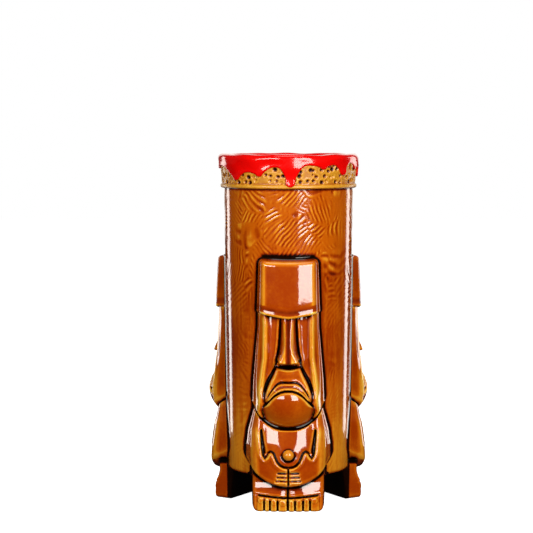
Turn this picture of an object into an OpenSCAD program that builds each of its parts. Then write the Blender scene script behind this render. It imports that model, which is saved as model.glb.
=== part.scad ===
// Footed ceramic cup with three carved standing figures round it.
// Millimetres, +Z up. The origin is on the cup's axis at the level of the soles.
// The front figure faces -Y; the others stand a third of a turn to each side of it.

/* [Cup] */
// Height over everything, soles to the top of the red glaze
total_height = 185; // [170:1:230]
// Outer radius of the cup where its wall meets the underside
cup_base_radius = 32; // [26:0.5:40]
// How much larger the cup's outer radius is at the lip than at the underside
cup_flare = 2.4; // [0:0.1:6]
// Thickness of the cast wall
wall = 4; // [2.5:0.1:6]
// Thickness of the cup's floor
floor_thickness = 5; // [3:0.5:9]
// Rounding between the floor and the wall, inside
floor_cove = 5; // [2:0.5:8]
// Rounding of the outer bottom edge
base_round = 2.5; // [1:0.25:3.5]
// Height of the cup's underside above the soles
underside_height = 17; // [14:0.5:22]

/* [Rim] */
// Height of the pitted band under the lip
band_height = 17; // [14:0.5:24]
// How far the band stands out of the wall at its lower edge
band_proud_low = 1.3; // [0.8:0.1:2.5]
// How far the band stands out of the wall at the lip
band_proud_high = 2.2; // [1.5:0.1:4]
// Radius of the smooth bead along the band's lower edge
bead_radius = 1.2; // [0.8:0.1:1.6]
// Rounding of the lip's outer edge
lip_round_out = 1.8; // [0.8:0.1:2]
// Rounding of the lip's inner edge
lip_round_in = 1.5; // [0.8:0.1:2]
// Radius of one pit
pit_radius = 1; // [0.6:0.05:1.3]
// Depth of a pit
pit_depth = 0.7; // [0.3:0.05:0.8]
// Number of pits in one row round the band
pits_per_row = 40; // [24:1:48]
// Number of rows of pits
pit_rows = 2; // [1:1:3]

/* [Red glaze] */
// Thickness of the red glaze
glaze_thickness = 1; // [0.5:0.1:1.5]
// How far the unbroken coat reaches down outside
coat_depth = 7; // [5:0.5:9]
// How far the coat reaches down inside the cup
coat_inside = 8; // [4:0.5:14]

/* [Brow block] */
// Height of the brow block at its sides
brow_height = 28; // [22:0.5:34]
// How far the brow dips over the nose
brow_dip = 3; // [1:0.25:4]
// Width of the brow block at its lower edge
brow_width_low = 32.8; // [26:0.2:38]
// Width of the brow block at its top
brow_width_high = 30.4; // [24:0.2:36]
// Rounding of the brow's upper corners
brow_corner = 3; // [1:0.5:5]
// How far the brow's lower edge stands out of the cup
brow_proud_low = 6.3; // [4:0.1:9]
// How far the brow's top stands out of the cup
brow_proud_high = 4.3; // [3:0.1:7]

/* [Face] */
// Height of the face from the jaw corners to the brow's sides
face_height = 50.8; // [42:0.2:60]
// Width of the face under the brow
face_width_high = 31; // [25:0.2:36]
// Width of the face at the jaw
face_width_low = 35.4; // [29:0.2:41]
// How far the cheeks stand out of the cup, at the middle of the face
face_proud = 5.6; // [4:0.1:8]
// Depth of the long sunk panels beside the nose
panel_depth = 2.2; // [1:0.1:3]
// How far the muzzle stands out of the cup over the mouth
muzzle_proud = 11; // [8:0.1:14]
// Width of the nose under the brow
nose_width_high = 8; // [6:0.2:10]
// Width of the nose at the nostrils
nose_width_low = 12.8; // [10:0.2:16]
// Height of the nose, from its underside to the brow's sides
nose_height = 26.5; // [20:0.5:30]
// How far the tip of the nose stands out of the cup
nose_proud = 9.8; // [7:0.1:13]
// Radius of the mouth line, which is an arc over the chin
mouth_radius = 14; // [11:0.2:17]
// Height of the mouth line's middle above the jaw corners
mouth_rise = 11.5; // [9:0.25:14]
// How far the chin stands out of the cup
chin_proud = 12.8; // [9:0.1:15]
// Height of the jaw corners above the lowest point of the chin
chin_drop = 8; // [5:0.25:10]

/* [Torso and feet] */
// Height from the middle of the belly's lower edge to the shoulders
torso_height = 38.2; // [32:0.2:44]
// Width across the arms
torso_width = 39.7; // [33:0.1:44]
// Width across the shoulders
shoulder_width = 33.4; // [28:0.2:38]
// How far the belly stands out of the cup
belly_proud = 10; // [7:0.1:13]
// How far the middle of the belly's lower edge hangs below the cup's underside
belly_hang = 2.6; // [1:0.2:5]
// How far the belly's lower edge rises at its sides
belly_rise = 6; // [4:0.25:9]
// Radius of the navel button
navel_radius = 3; // [2:0.1:4]
// Height of the navel above the belly's lower edge
navel_height = 16; // [14:0.2:20]
// Depth of the carved lines
groove_depth = 1.4; // [0.6:0.1:2]
// Width of the carved lines
groove_width = 1; // [0.6:0.1:1.5]
// Width across one pair of feet
feet_width = 36.4; // [30:0.2:40]
// How far the toes stand out of the cup
toes_proud = 4.8; // [3:0.1:7]
// Length of the soles, from the toes inwards
sole_length = 12; // [9:0.5:16]
// Height of the toes
toes_height = 8; // [6:0.25:10]

/* [Hidden] */
$fn = 96;

FRONT = 0;
RIGHT = 120;
LEFT = -120;

glaze_brown = [0.70, 0.33, 0.05];
glaze_gold = [0.83, 0.58, 0.20];
glaze_red = [0.90, 0.05, 0.04];

eps = 0.01;
big = 200;

// How rounded each carved front is from side to side, as a radius.
cheek_curve = 30;
muzzle_curve = 19;
chin_curve = 18.5;
belly_curve = 23;

// Width of the cheek's raised outer edge, height of the nostrils and height of the upper lip.
cheek_rim = 3.4;
nostril_height = 4;
lip_height = 4;

// How far the chest leans back from the belly's lower edge to the shoulders.
belly_lean = 1.8;

// How far the navel's straight edge and then its domed face stand out of the belly.
navel_edge = 0.4;
navel_dome = 1.3;

lip_z = total_height - glaze_thickness;
floor_z = underside_height + floor_thickness;
band_z = lip_z - band_height;
torso_z = underside_height - belly_hang;
shoulder_z = torso_z + torso_height;
jaw_z = shoulder_z;
brow_z = jaw_z + face_height;
brow_top_z = brow_z + brow_height;
mouth_z = jaw_z + mouth_rise;
chin_z = jaw_z - chin_drop;
nose_z = brow_z - nose_height;
navel_z = torso_z + navel_height;

// Each drip is [degrees round from the front, how far it runs below the coat's edge, width].
drips = [
    [-84, 1.5, 6], [-49, 7.5, 6], [-25, 5, 6], [1.5, 9.2, 6], [30, 2, 5], [52, 5, 4.5],
    [88, 6.5, 6], [112, 3, 5], [135, 8.5, 6], [160, 4, 5], [184, 7, 6], [208, 2.5, 5],
    [232, 8, 6], [255, 4, 5]
];

// Outer radius of the cup's plain wall at a height.
function cup_r(z) = cup_base_radius
    + cup_flare * (z - underside_height) / (lip_z - underside_height);

// Radius of the band's outer face at a height, with a coat of the given thickness.
function band_r(z, coat = 0) = cup_r(z) + coat + band_proud_low
    + (band_proud_high - band_proud_low) * (z - band_z) / band_height;

// Radius of an arc from its chord's half width and its rise.
function arc_radius(half, rise) = (half * half + rise * rise) / (2 * rise);

// ---------- cup ----------

module cup_outline() {
    polygon([
        [0, underside_height],
        [cup_base_radius - base_round, underside_height],
        [cup_r(underside_height + base_round), underside_height + base_round],
        [cup_r(lip_z), lip_z],
        [0, lip_z]
    ]);
    intersection() {
        translate([cup_base_radius - base_round, underside_height + base_round])
            circle(base_round);
        polygon([[0, 0], [cup_r(0), 0], [cup_r(lip_z), lip_z], [0, lip_z]]);
    }
}

module cup_solid() {
    rotate_extrude() cup_outline();
}

module cavity_outline() {
    polygon([
        [-eps, underside_height - eps],
        [cup_r(underside_height - eps) - wall, underside_height - eps],
        [cup_r(lip_z + eps) - wall, lip_z + eps],
        [-eps, lip_z + eps]
    ]);
}

// The sliver that rounds a square corner at [x, z]. side is 1 for an outer edge, -1 for an
// inner one.
module corner_trim(x, z, radius, side) {
    difference() {
        translate([side > 0 ? x - radius : x - eps, z - radius])
            square([radius + eps, radius + eps]);
        translate([x - side * radius, z - radius]) circle(radius);
    }
}

// The rounded foot of the inner wall, where it meets the floor.
module cove_outline() {
    x = cup_r(floor_z) - wall - floor_cove;
    difference() {
        translate([x, floor_z]) square([floor_cove + 1, floor_cove]);
        translate([x, floor_z + floor_cove]) circle(floor_cove);
    }
}

module cup_wall() {
    color(glaze_brown)
        rotate_extrude() difference() {
            cup_outline();
            difference() {
                cavity_outline();
                cove_outline();
            }
            corner_trim(cup_r(lip_z) - wall, lip_z, lip_round_in, -1);
        }
}

module cup_floor() {
    color(glaze_brown)
        rotate_extrude() intersection() {
            cavity_outline();
            translate([0, underside_height]) square([big, floor_thickness]);
        }
}

// ---------- rim ----------

module band_outline(coat = 0) {
    difference() {
        polygon([
            [cup_r(band_z) - wall, band_z],
            [band_r(band_z, coat), band_z],
            [band_r(lip_z, coat), lip_z],
            [band_r(lip_z, coat), lip_z + coat],
            [cup_r(lip_z) - wall, lip_z + coat]
        ]);
        corner_trim(band_r(lip_z, coat), lip_z + coat, lip_round_out + coat, 1);
    }
}

module bead_outline() {
    translate([band_r(band_z + bead_radius) - 0.4 * bead_radius, band_z + bead_radius])
        circle(bead_radius, $fn = 32);
}

module band_ring() {
    difference() {
        rotate_extrude() {
            band_outline();
            bead_outline();
        }
        cup_solid();
    }
}

// A round pit, sunk straight in towards the axis.
module pit(angle, z) {
    rotate([0, 0, angle]) translate([0, pit_depth - band_r(z), z])
        rotate([90, 0, 0]) cylinder(r = pit_radius, h = 2 * pit_depth, $fn = 24);
}

module pumice_band() {
    pitted_height = band_height - coat_depth;
    pitch = pitted_height / (pit_rows + 1);
    color(glaze_gold) difference() {
        band_ring();
        for (row = [0 : pit_rows - 1])
            for (i = [0 : pits_per_row - 1])
                pit((i + 0.5 * (row % 2)) * 360 / pits_per_row, band_z + pitch * (row + 1.2));
    }
}

// The glaze as it lies over the band and the lip, before its lower edge is cut.
module coat_outline() {
    difference() {
        union() {
            band_outline(glaze_thickness);
            polygon([
                [cup_r(lip_z - coat_inside) - wall - glaze_thickness, lip_z - coat_inside],
                [cup_r(lip_z - coat_inside) - wall, lip_z - coat_inside],
                [cup_r(lip_z), lip_z + glaze_thickness],
                [cup_r(lip_z) - wall - glaze_thickness, lip_z + glaze_thickness]
            ]);
        }
        difference() {
            band_outline();
            corner_trim(cup_r(lip_z) - wall, lip_z, lip_round_in, -1);
        }
        corner_trim(cup_r(lip_z) - wall - glaze_thickness, lip_z + glaze_thickness,
            lip_round_in + glaze_thickness, -1);
    }
}

// One tongue of glaze, round at its tip, running down from the coat's lower edge.
module drip(angle, length, width) {
    tip = lip_z - coat_depth - length;
    rotate([0, 0, angle]) rotate([90, 0, 0]) linear_extrude(height = big) {
        translate([0, tip + width / 2]) circle(width / 2);
        translate([-width / 2, tip + width / 2]) square([width, length + coat_depth]);
    }
}

module red_glaze() {
    color(glaze_red) intersection() {
        rotate_extrude() difference() {
            coat_outline();
            difference() {
                cup_outline();
                cavity_outline();
                corner_trim(cup_r(lip_z) - wall, lip_z, lip_round_in, -1);
            }
        }
        union() {
            translate([0, 0, lip_z - coat_depth]) cylinder(r = big, h = big);
            translate([0, 0, lip_z - big]) cylinder(r = cup_r(lip_z) - wall, h = big);
            for (d = drips) drip(d[0], d[1], d[2]);
        }
    }
}

// ---------- figure: outlines seen from the front, x across and y up ----------

// start is the distance from the axis at which the outline's extrusion begins.
module slab(start = 0) {
    translate([0, -start, 0]) rotate([90, 0, 0]) linear_extrude(height = big) children();
}

// A profile drawn as [distance out from the axis, height], pushed out sideways.
module side_profile(width) {
    rotate([90, 0, -90]) translate([0, 0, -width / 2]) linear_extrude(height = width) children();
}

// A round front: an upright cone frustum whose front reaches low at z0 and high at z1.
module crown(low, high, radius, z0, z1) {
    translate([0, radius - low, z0])
        cylinder(r1 = radius, r2 = radius + high - low, h = z1 - z0);
}

module brow_outline() {
    corner_x = brow_width_high / 2 - brow_corner;
    corner_z = brow_top_z - brow_corner;
    polygon([
        [-brow_width_low / 2, brow_z], [0, brow_z - brow_dip], [brow_width_low / 2, brow_z],
        [brow_width_high / 2, corner_z], [corner_x, brow_top_z],
        [-corner_x, brow_top_z], [-brow_width_high / 2, corner_z]
    ]);
    for (side = [-1, 1])
        translate([side * corner_x, corner_z]) circle(brow_corner);
}

module brow_shape() {
    reach = cup_r(brow_z);
    intersection() {
        slab() brow_outline();
        crown(reach + brow_proud_low, reach + brow_proud_high, reach + 20,
            brow_z - brow_dip, brow_top_z);
    }
}

module face_outline() {
    polygon([
        [-face_width_low / 2, jaw_z], [face_width_low / 2, jaw_z],
        [face_width_high / 2, brow_z + eps], [-face_width_high / 2, brow_z + eps]
    ]);
}

// One long panel between the nose and the cheek's edge, which the brow's dip cuts off above.
module panel_outline(side) {
    cheek_edge = face_width_high / 2 - cheek_rim;
    polygon([
        [side * nose_width_high / 2, brow_z + eps],
        [side * cheek_edge, brow_z + eps],
        [side * cheek_edge, nose_z + nostril_height],
        [side * (nose_width_low / 2 + 0.4), nose_z]
    ]);
}

module muzzle_outline() {
    corner_z = jaw_z + 4;
    polygon([
        [-nose_width_low / 2, nose_z + 1], [nose_width_low / 2, nose_z + 1],
        [mouth_radius, corner_z], [mouth_radius, jaw_z], [-mouth_radius, jaw_z],
        [-mouth_radius, corner_z]
    ]);
}

// The line over the upper lip, an arc that runs along above the mouth.
module lip_line() {
    radius = mouth_radius + lip_height;
    translate([0, mouth_z - mouth_radius]) difference() {
        circle(radius + groove_width / 2);
        circle(radius - groove_width / 2);
    }
}

// Round front of the muzzle, leaning back towards the nose.
module muzzle_crown(sunk = 0) {
    front = cup_r(jaw_z) + muzzle_proud - sunk;
    crown(front + 1, front - 3, muzzle_curve, jaw_z, nose_z + 1);
}

// Round front of the cheeks, leaning back a little towards the brow.
module cheek_crown(sunk = 0) {
    front = cup_r(jaw_z) + face_proud - sunk;
    crown(front, front - 1, cheek_curve, jaw_z - 1, brow_z + 1);
}

module face_shape() {
    difference() {
        union() {
            difference() {
                intersection() {
                    slab() face_outline();
                    cheek_crown();
                }
                for (side = [-1, 1]) difference() {
                    slab() panel_outline(side);
                    cheek_crown(panel_depth);
                }
            }
            intersection() {
                slab() muzzle_outline();
                muzzle_crown();
            }
        }
        difference() {
            slab() intersection() {
                lip_line();
                muzzle_outline();
            }
            muzzle_crown(groove_depth);
        }
    }
}

module nose_shape() {
    reach = cup_r(jaw_z);
    intersection() {
        slab() polygon([
            [-nose_width_low / 2, nose_z], [nose_width_low / 2, nose_z],
            [nose_width_low / 2, nose_z + nostril_height], [nose_width_high / 2, brow_z],
            [-nose_width_high / 2, brow_z], [-nose_width_low / 2, nose_z + nostril_height]
        ]);
        side_profile(nose_width_low) polygon([
            [0, nose_z], [reach + nose_proud - 3, nose_z], [reach + nose_proud, nose_z + 3.5],
            [reach + brow_proud_low - 1, brow_z], [0, brow_z]
        ]);
    }
}

module chin_shape() {
    low_radius = arc_radius(mouth_radius + 1.5, chin_drop);
    intersection() {
        slab() intersection() {
            translate([0, mouth_z - mouth_radius]) circle(mouth_radius);
            translate([0, chin_z + low_radius]) circle(low_radius);
        }
        translate([0, chin_curve - cup_r(jaw_z) - chin_proud, jaw_z + 4.5]) sphere(chin_curve);
    }
}

module torso_outline() {
    low_radius = arc_radius(torso_width / 2, belly_rise);
    arm_z = torso_z + 12;
    intersection() {
        polygon([
            [-torso_width / 2, torso_z], [torso_width / 2, torso_z], [torso_width / 2, arm_z],
            [shoulder_width / 2, shoulder_z], [-shoulder_width / 2, shoulder_z],
            [-torso_width / 2, arm_z]
        ]);
        translate([0, torso_z + low_radius]) circle(low_radius);
    }
}

module torso_lines() {
    slot_x = torso_width * 0.33;
    hand_radius = 8;
    finger = 6;
    for (side = [-1, 1]) {
        polygon([
            [side * (slot_x + 0.8), navel_z + 12], [side * slot_x, navel_z - 2],
            [side * (slot_x - groove_width - 0.6), navel_z]
        ]);
        for (i = [1 : 3])
            translate([side > 0 ? 0.5 : -finger - 0.5, torso_z + 10.4 - 2.2 * i])
                square([finger, groove_width * 0.7]);
    }
    translate([-groove_width / 2, torso_z + 1.5]) square([groove_width, 9]);
    intersection() {
        translate([0, navel_z + 1.8]) difference() {
            circle(hand_radius + groove_width / 2);
            circle(hand_radius - groove_width / 2);
        }
        translate([-hand_radius, torso_z]) square([2 * hand_radius, navel_z - torso_z]);
    }
}

// Round front of the belly and chest, leaning back a little towards the shoulders.
module belly_crown(sunk = 0) {
    front = cup_r(torso_z) + belly_proud - sunk;
    crown(front, front - belly_lean, belly_curve, torso_z, shoulder_z);
}

module torso_shape() {
    back = sqrt(pow(cup_base_radius, 2) - pow(torso_width / 2, 2)) - 1;
    difference() {
        intersection() {
            slab(back) torso_outline();
            belly_crown();
        }
        difference() {
            slab() torso_lines();
            belly_crown(groove_depth);
        }
    }
}

// A round button with a domed face, standing straight out of the belly.
module navel_shape() {
    belly = cup_r(torso_z) + belly_proud - belly_lean * navel_height / torso_height;
    dome = arc_radius(navel_radius, navel_dome);
    translate([0, -belly, navel_z]) rotate([90, 0, 0]) intersection() {
        translate([0, 0, -navel_radius]) cylinder(r = navel_radius, h = 2 * navel_radius);
        translate([0, 0, navel_edge + navel_dome - dome]) sphere(dome);
    }
}

module feet_lines() {
    translate([-groove_width / 2, -eps]) square([groove_width, big]);
    for (side = [-1, 1]) {
        for (x = [4.4, 8.4, 11.8])
            translate([side * x - groove_width / 2, 0.8]) square([groove_width, toes_height - 2.2]);
        polygon([
            [0, toes_height - 1.2], [side * 15.4, toes_height + 0.9],
            [side * 15.4, toes_height + 1.5], [0, toes_height - 0.2]
        ]);
    }
}

module feet_outline() {
    corner = 2;
    half = feet_width / 2;
    top = torso_z + belly_rise + 1;
    polygon([
        [corner - half, 0], [half - corner, 0], [half, corner], [half, top], [-half, top],
        [-half, corner]
    ]);
    for (side = [-1, 1]) translate([side * (half - corner), corner]) circle(corner, $fn = 32);
}

module feet_shape() {
    toes = cup_base_radius + toes_proud;
    heel = toes - sole_length;
    instep = toes - 3.6;
    outline = [
        [heel, 0], [toes - 1, 0], [toes, 1.2], [toes, toes_height - 2.5],
        [toes - 1.2, toes_height], [instep, toes_height + 5], [instep - 1, big],
        [heel - 2.5, big], [heel - 2.5, underside_height]
    ];
    difference() {
        intersection() {
            slab() feet_outline();
            side_profile(feet_width) polygon(outline);
        }
        difference() {
            slab() feet_lines();
            side_profile(big) polygon([for (p = outline) [p[0] - 1.6, p[1] * 2 - 10]]);
        }
    }
}

// ---------- figure: pieces, each cut to sit on the cup and on its neighbours ----------

module place(turn) {
    rotate([0, 0, turn]) children();
}

module brow(turn) {
    color(glaze_brown) place(turn) difference() {
        brow_shape();
        cup_solid();
    }
}

module face(turn) {
    color(glaze_brown) place(turn) difference() {
        face_shape();
        cup_solid();
        brow_shape();
        nose_shape();
        chin_shape();
    }
}

module nose(turn) {
    color(glaze_brown) place(turn) difference() {
        nose_shape();
        cup_solid();
        brow_shape();
    }
}

module chin(turn) {
    color(glaze_brown) place(turn) difference() {
        chin_shape();
        cup_solid();
    }
}

module torso(turn) {
    color(glaze_brown) place(turn) difference() {
        torso_shape();
        cup_solid();
        chin_shape();
    }
}

module navel(turn) {
    color(glaze_brown) place(turn) difference() {
        navel_shape();
        torso_shape();
    }
}

module feet(turn) {
    color(glaze_brown) place(turn) difference() {
        feet_shape();
        cup_solid();
        torso_shape();
    }
}

cup_wall();
cup_floor();
pumice_band();
red_glaze();
brow(FRONT);  // front_brow
face(FRONT);  // front_face
nose(FRONT);  // front_nose
chin(FRONT);  // front_chin
torso(FRONT);  // front_torso
navel(FRONT);  // front_navel
feet(FRONT);  // front_feet
brow(LEFT);  // left_brow
face(LEFT);  // left_face
nose(LEFT);  // left_nose
chin(LEFT);  // left_chin
torso(LEFT);  // left_torso
navel(LEFT);  // left_navel
feet(LEFT);  // left_feet
brow(RIGHT);  // right_brow
face(RIGHT);  // right_face
nose(RIGHT);  // right_nose
chin(RIGHT);  // right_chin
torso(RIGHT);  // right_torso
navel(RIGHT);  // right_navel
feet(RIGHT);  // right_feet
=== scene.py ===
"""Glazed footed cup with three carved standing figures, dressed over its solid model."""

import logging
import math
from dataclasses import dataclass, field
from enum import Enum
from typing import Callable, Sequence

import bmesh
import bpy
import numpy as np
import openvdb
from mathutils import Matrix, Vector


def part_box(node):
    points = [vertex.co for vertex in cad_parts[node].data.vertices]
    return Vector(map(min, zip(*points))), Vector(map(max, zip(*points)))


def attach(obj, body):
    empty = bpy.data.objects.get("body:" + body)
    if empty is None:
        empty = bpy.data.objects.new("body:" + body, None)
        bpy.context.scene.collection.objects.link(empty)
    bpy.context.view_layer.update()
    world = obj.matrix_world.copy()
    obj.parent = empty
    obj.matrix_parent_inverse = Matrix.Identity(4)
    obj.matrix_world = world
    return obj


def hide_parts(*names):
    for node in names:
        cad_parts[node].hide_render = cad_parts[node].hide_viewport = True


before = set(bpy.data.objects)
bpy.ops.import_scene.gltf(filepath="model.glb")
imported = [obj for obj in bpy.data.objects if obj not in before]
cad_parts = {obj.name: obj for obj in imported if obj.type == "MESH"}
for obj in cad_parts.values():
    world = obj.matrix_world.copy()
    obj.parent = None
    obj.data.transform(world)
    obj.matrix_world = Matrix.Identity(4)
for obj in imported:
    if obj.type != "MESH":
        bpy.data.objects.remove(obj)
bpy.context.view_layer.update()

LOG = logging.getLogger("footed_cup")
MM = 0.001
Array = np.ndarray
Field = Callable[[Array, Array, Array], Array]
Point2 = tuple[float, float]


# ---------------------------------------------------------------- small geometry helpers


@dataclass(frozen=True)
class Box:
    """A node's box in millimetres.

    Attributes:
        low: Its lowest corner.
        high: Its highest corner.
    """

    low: tuple[float, float, float]
    high: tuple[float, float, float]

    @classmethod
    def of(cls, node: str) -> "Box":
        """The box of a node of the solid model."""
        low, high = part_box(node)
        return cls(tuple(v / MM for v in low), tuple(v / MM for v in high))


def smooth_step(low: float, high: float, value: Array) -> Array:
    """Zero below low, one above high, and a smooth S between."""
    t = np.clip((value - low) / (high - low), 0.0, 1.0)
    return t * t * (3.0 - 2.0 * t)


def smooth_min(a: Array, b: Array, blend: float) -> Array:
    """Union of two fields whose crease is filled over the given distance."""
    h = np.clip(0.5 + 0.5 * (b - a) / blend, 0.0, 1.0)
    return b * (1.0 - h) + a * h - blend * h * (1.0 - h)


def round_max(a: Array, b: Array, radius: float) -> Array:
    """Intersection of two fields whose meeting edge is rounded."""
    u = np.maximum(a + radius, 0.0)
    v = np.maximum(b + radius, 0.0)
    return np.minimum(np.maximum(a, b), -radius) + np.sqrt(u * u + v * v)


def bell(distance: Array, width: float) -> Array:
    """A smooth bump of height one, which is 0.37 at the given distance."""
    return np.exp(-((distance / width) ** 2))


def line_distance(x: Array, z: Array, points: Sequence[Point2]) -> Array:
    """Distance from each (x, z) to a polyline.

    Args:
        x: Across the figure.
        z: Up the figure.
        points: Corners of the line.

    Returns:
        The distances.
    """
    best = np.full(np.broadcast(x, z).shape, 1e6, dtype=np.float32)
    for (x0, z0), (x1, z1) in zip(points[:-1], points[1:]):
        dx, dz = x1 - x0, z1 - z0
        t = np.clip(((x - x0) * dx + (z - z0) * dz) / (dx * dx + dz * dz), 0.0, 1.0)
        best = np.minimum(best, (x - x0 - t * dx) ** 2 + (z - z0 - t * dz) ** 2)
    return np.sqrt(best)


def region_distance(x: Array, z: Array, corners: Sequence[Point2]) -> Array:
    """Signed distance to a closed outline, negative inside.

    Args:
        x: Across the figure.
        z: Up the figure.
        corners: The outline's corners, in order.

    Returns:
        The distances.
    """
    ring = list(corners) + [corners[0]]
    distance = line_distance(x, z, ring)
    inside = np.zeros(distance.shape, dtype=bool)
    for (x0, z0), (x1, z1) in zip(ring[:-1], ring[1:]):
        if z0 == z1:
            continue
        crosses = (z0 > z) != (z1 > z)
        inside ^= crosses & (x < (x1 - x0) * (z - z0) / (z1 - z0) + x0)
    return np.where(inside, -distance, distance)


def along(value: Array, stations: Sequence[Point2]) -> Array:
    """Interpolate smoothly through (position, value) pairs."""
    places = [s[0] for s in stations]
    return np.interp(value, places, [s[1] for s in stations]).astype(np.float32)


# ---------------------------------------------------------------- cup sizes


@dataclass(frozen=True)
class CupSizes:
    """Sizes of the plain cup, in millimetres, read from the solid model.

    Attributes:
        base_radius: Outer radius at the underside.
        top_radius: Outer radius at the lip.
        underside: Height of the underside over the table.
        floor_top: Height of the floor inside.
        lip: Height of the clay's lip.
        band_low: Height of the pitted band's lower edge.
        band_low_radius: Radius of the band at that edge.
        band_high_radius: Radius of the band at the lip.
        top: Height of the glaze over the lip.
        wall: Thickness of the wall.
    """

    base_radius: float
    top_radius: float
    underside: float
    floor_top: float
    lip: float
    band_low: float
    band_low_radius: float
    band_high_radius: float
    top: float
    wall: float

    @classmethod
    def from_frame(cls) -> "CupSizes":
        """Read the sizes from the boxes of the solid model's nodes."""
        wall, floor = Box.of("cup_wall"), Box.of("cup_floor")
        band, glaze = Box.of("pumice_band"), Box.of("red_glaze")
        flare = 2.4
        top_radius = wall.high[0]
        rise = wall.high[2] - wall.low[2]
        floor_rise = floor.high[2] - wall.low[2]
        inner = floor.high[0]
        base = top_radius - flare
        thickness = base + flare * floor_rise / rise - inner
        band_out = band.high[0]
        return cls(
            base_radius=base,
            top_radius=top_radius,
            underside=wall.low[2],
            floor_top=floor.high[2],
            lip=wall.high[2],
            band_low=band.low[2],
            band_low_radius=band_out - 1.2,
            band_high_radius=band_out,
            top=glaze.high[2],
            wall=thickness,
        )

    def outer(self, z: Array | float) -> Array | float:
        """Radius of the plain outer wall at a height."""
        share = (z - self.underside) / (self.lip - self.underside)
        return self.base_radius + (self.top_radius - self.base_radius) * share

    def band(self, z: Array | float) -> Array | float:
        """Radius of the band's outer face at a height."""
        share = (z - self.band_low) / (self.lip - self.band_low)
        return self.band_low_radius + (self.band_high_radius - self.band_low_radius) * share


# ---------------------------------------------------------------- the carved figure


class Piece(Enum):
    """The carved pieces of one figure."""

    BROW = "brow"
    FACE = "face"
    NOSE = "nose"
    CHIN = "chin"
    TORSO = "torso"
    NAVEL = "navel"
    FEET = "feet"


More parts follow.
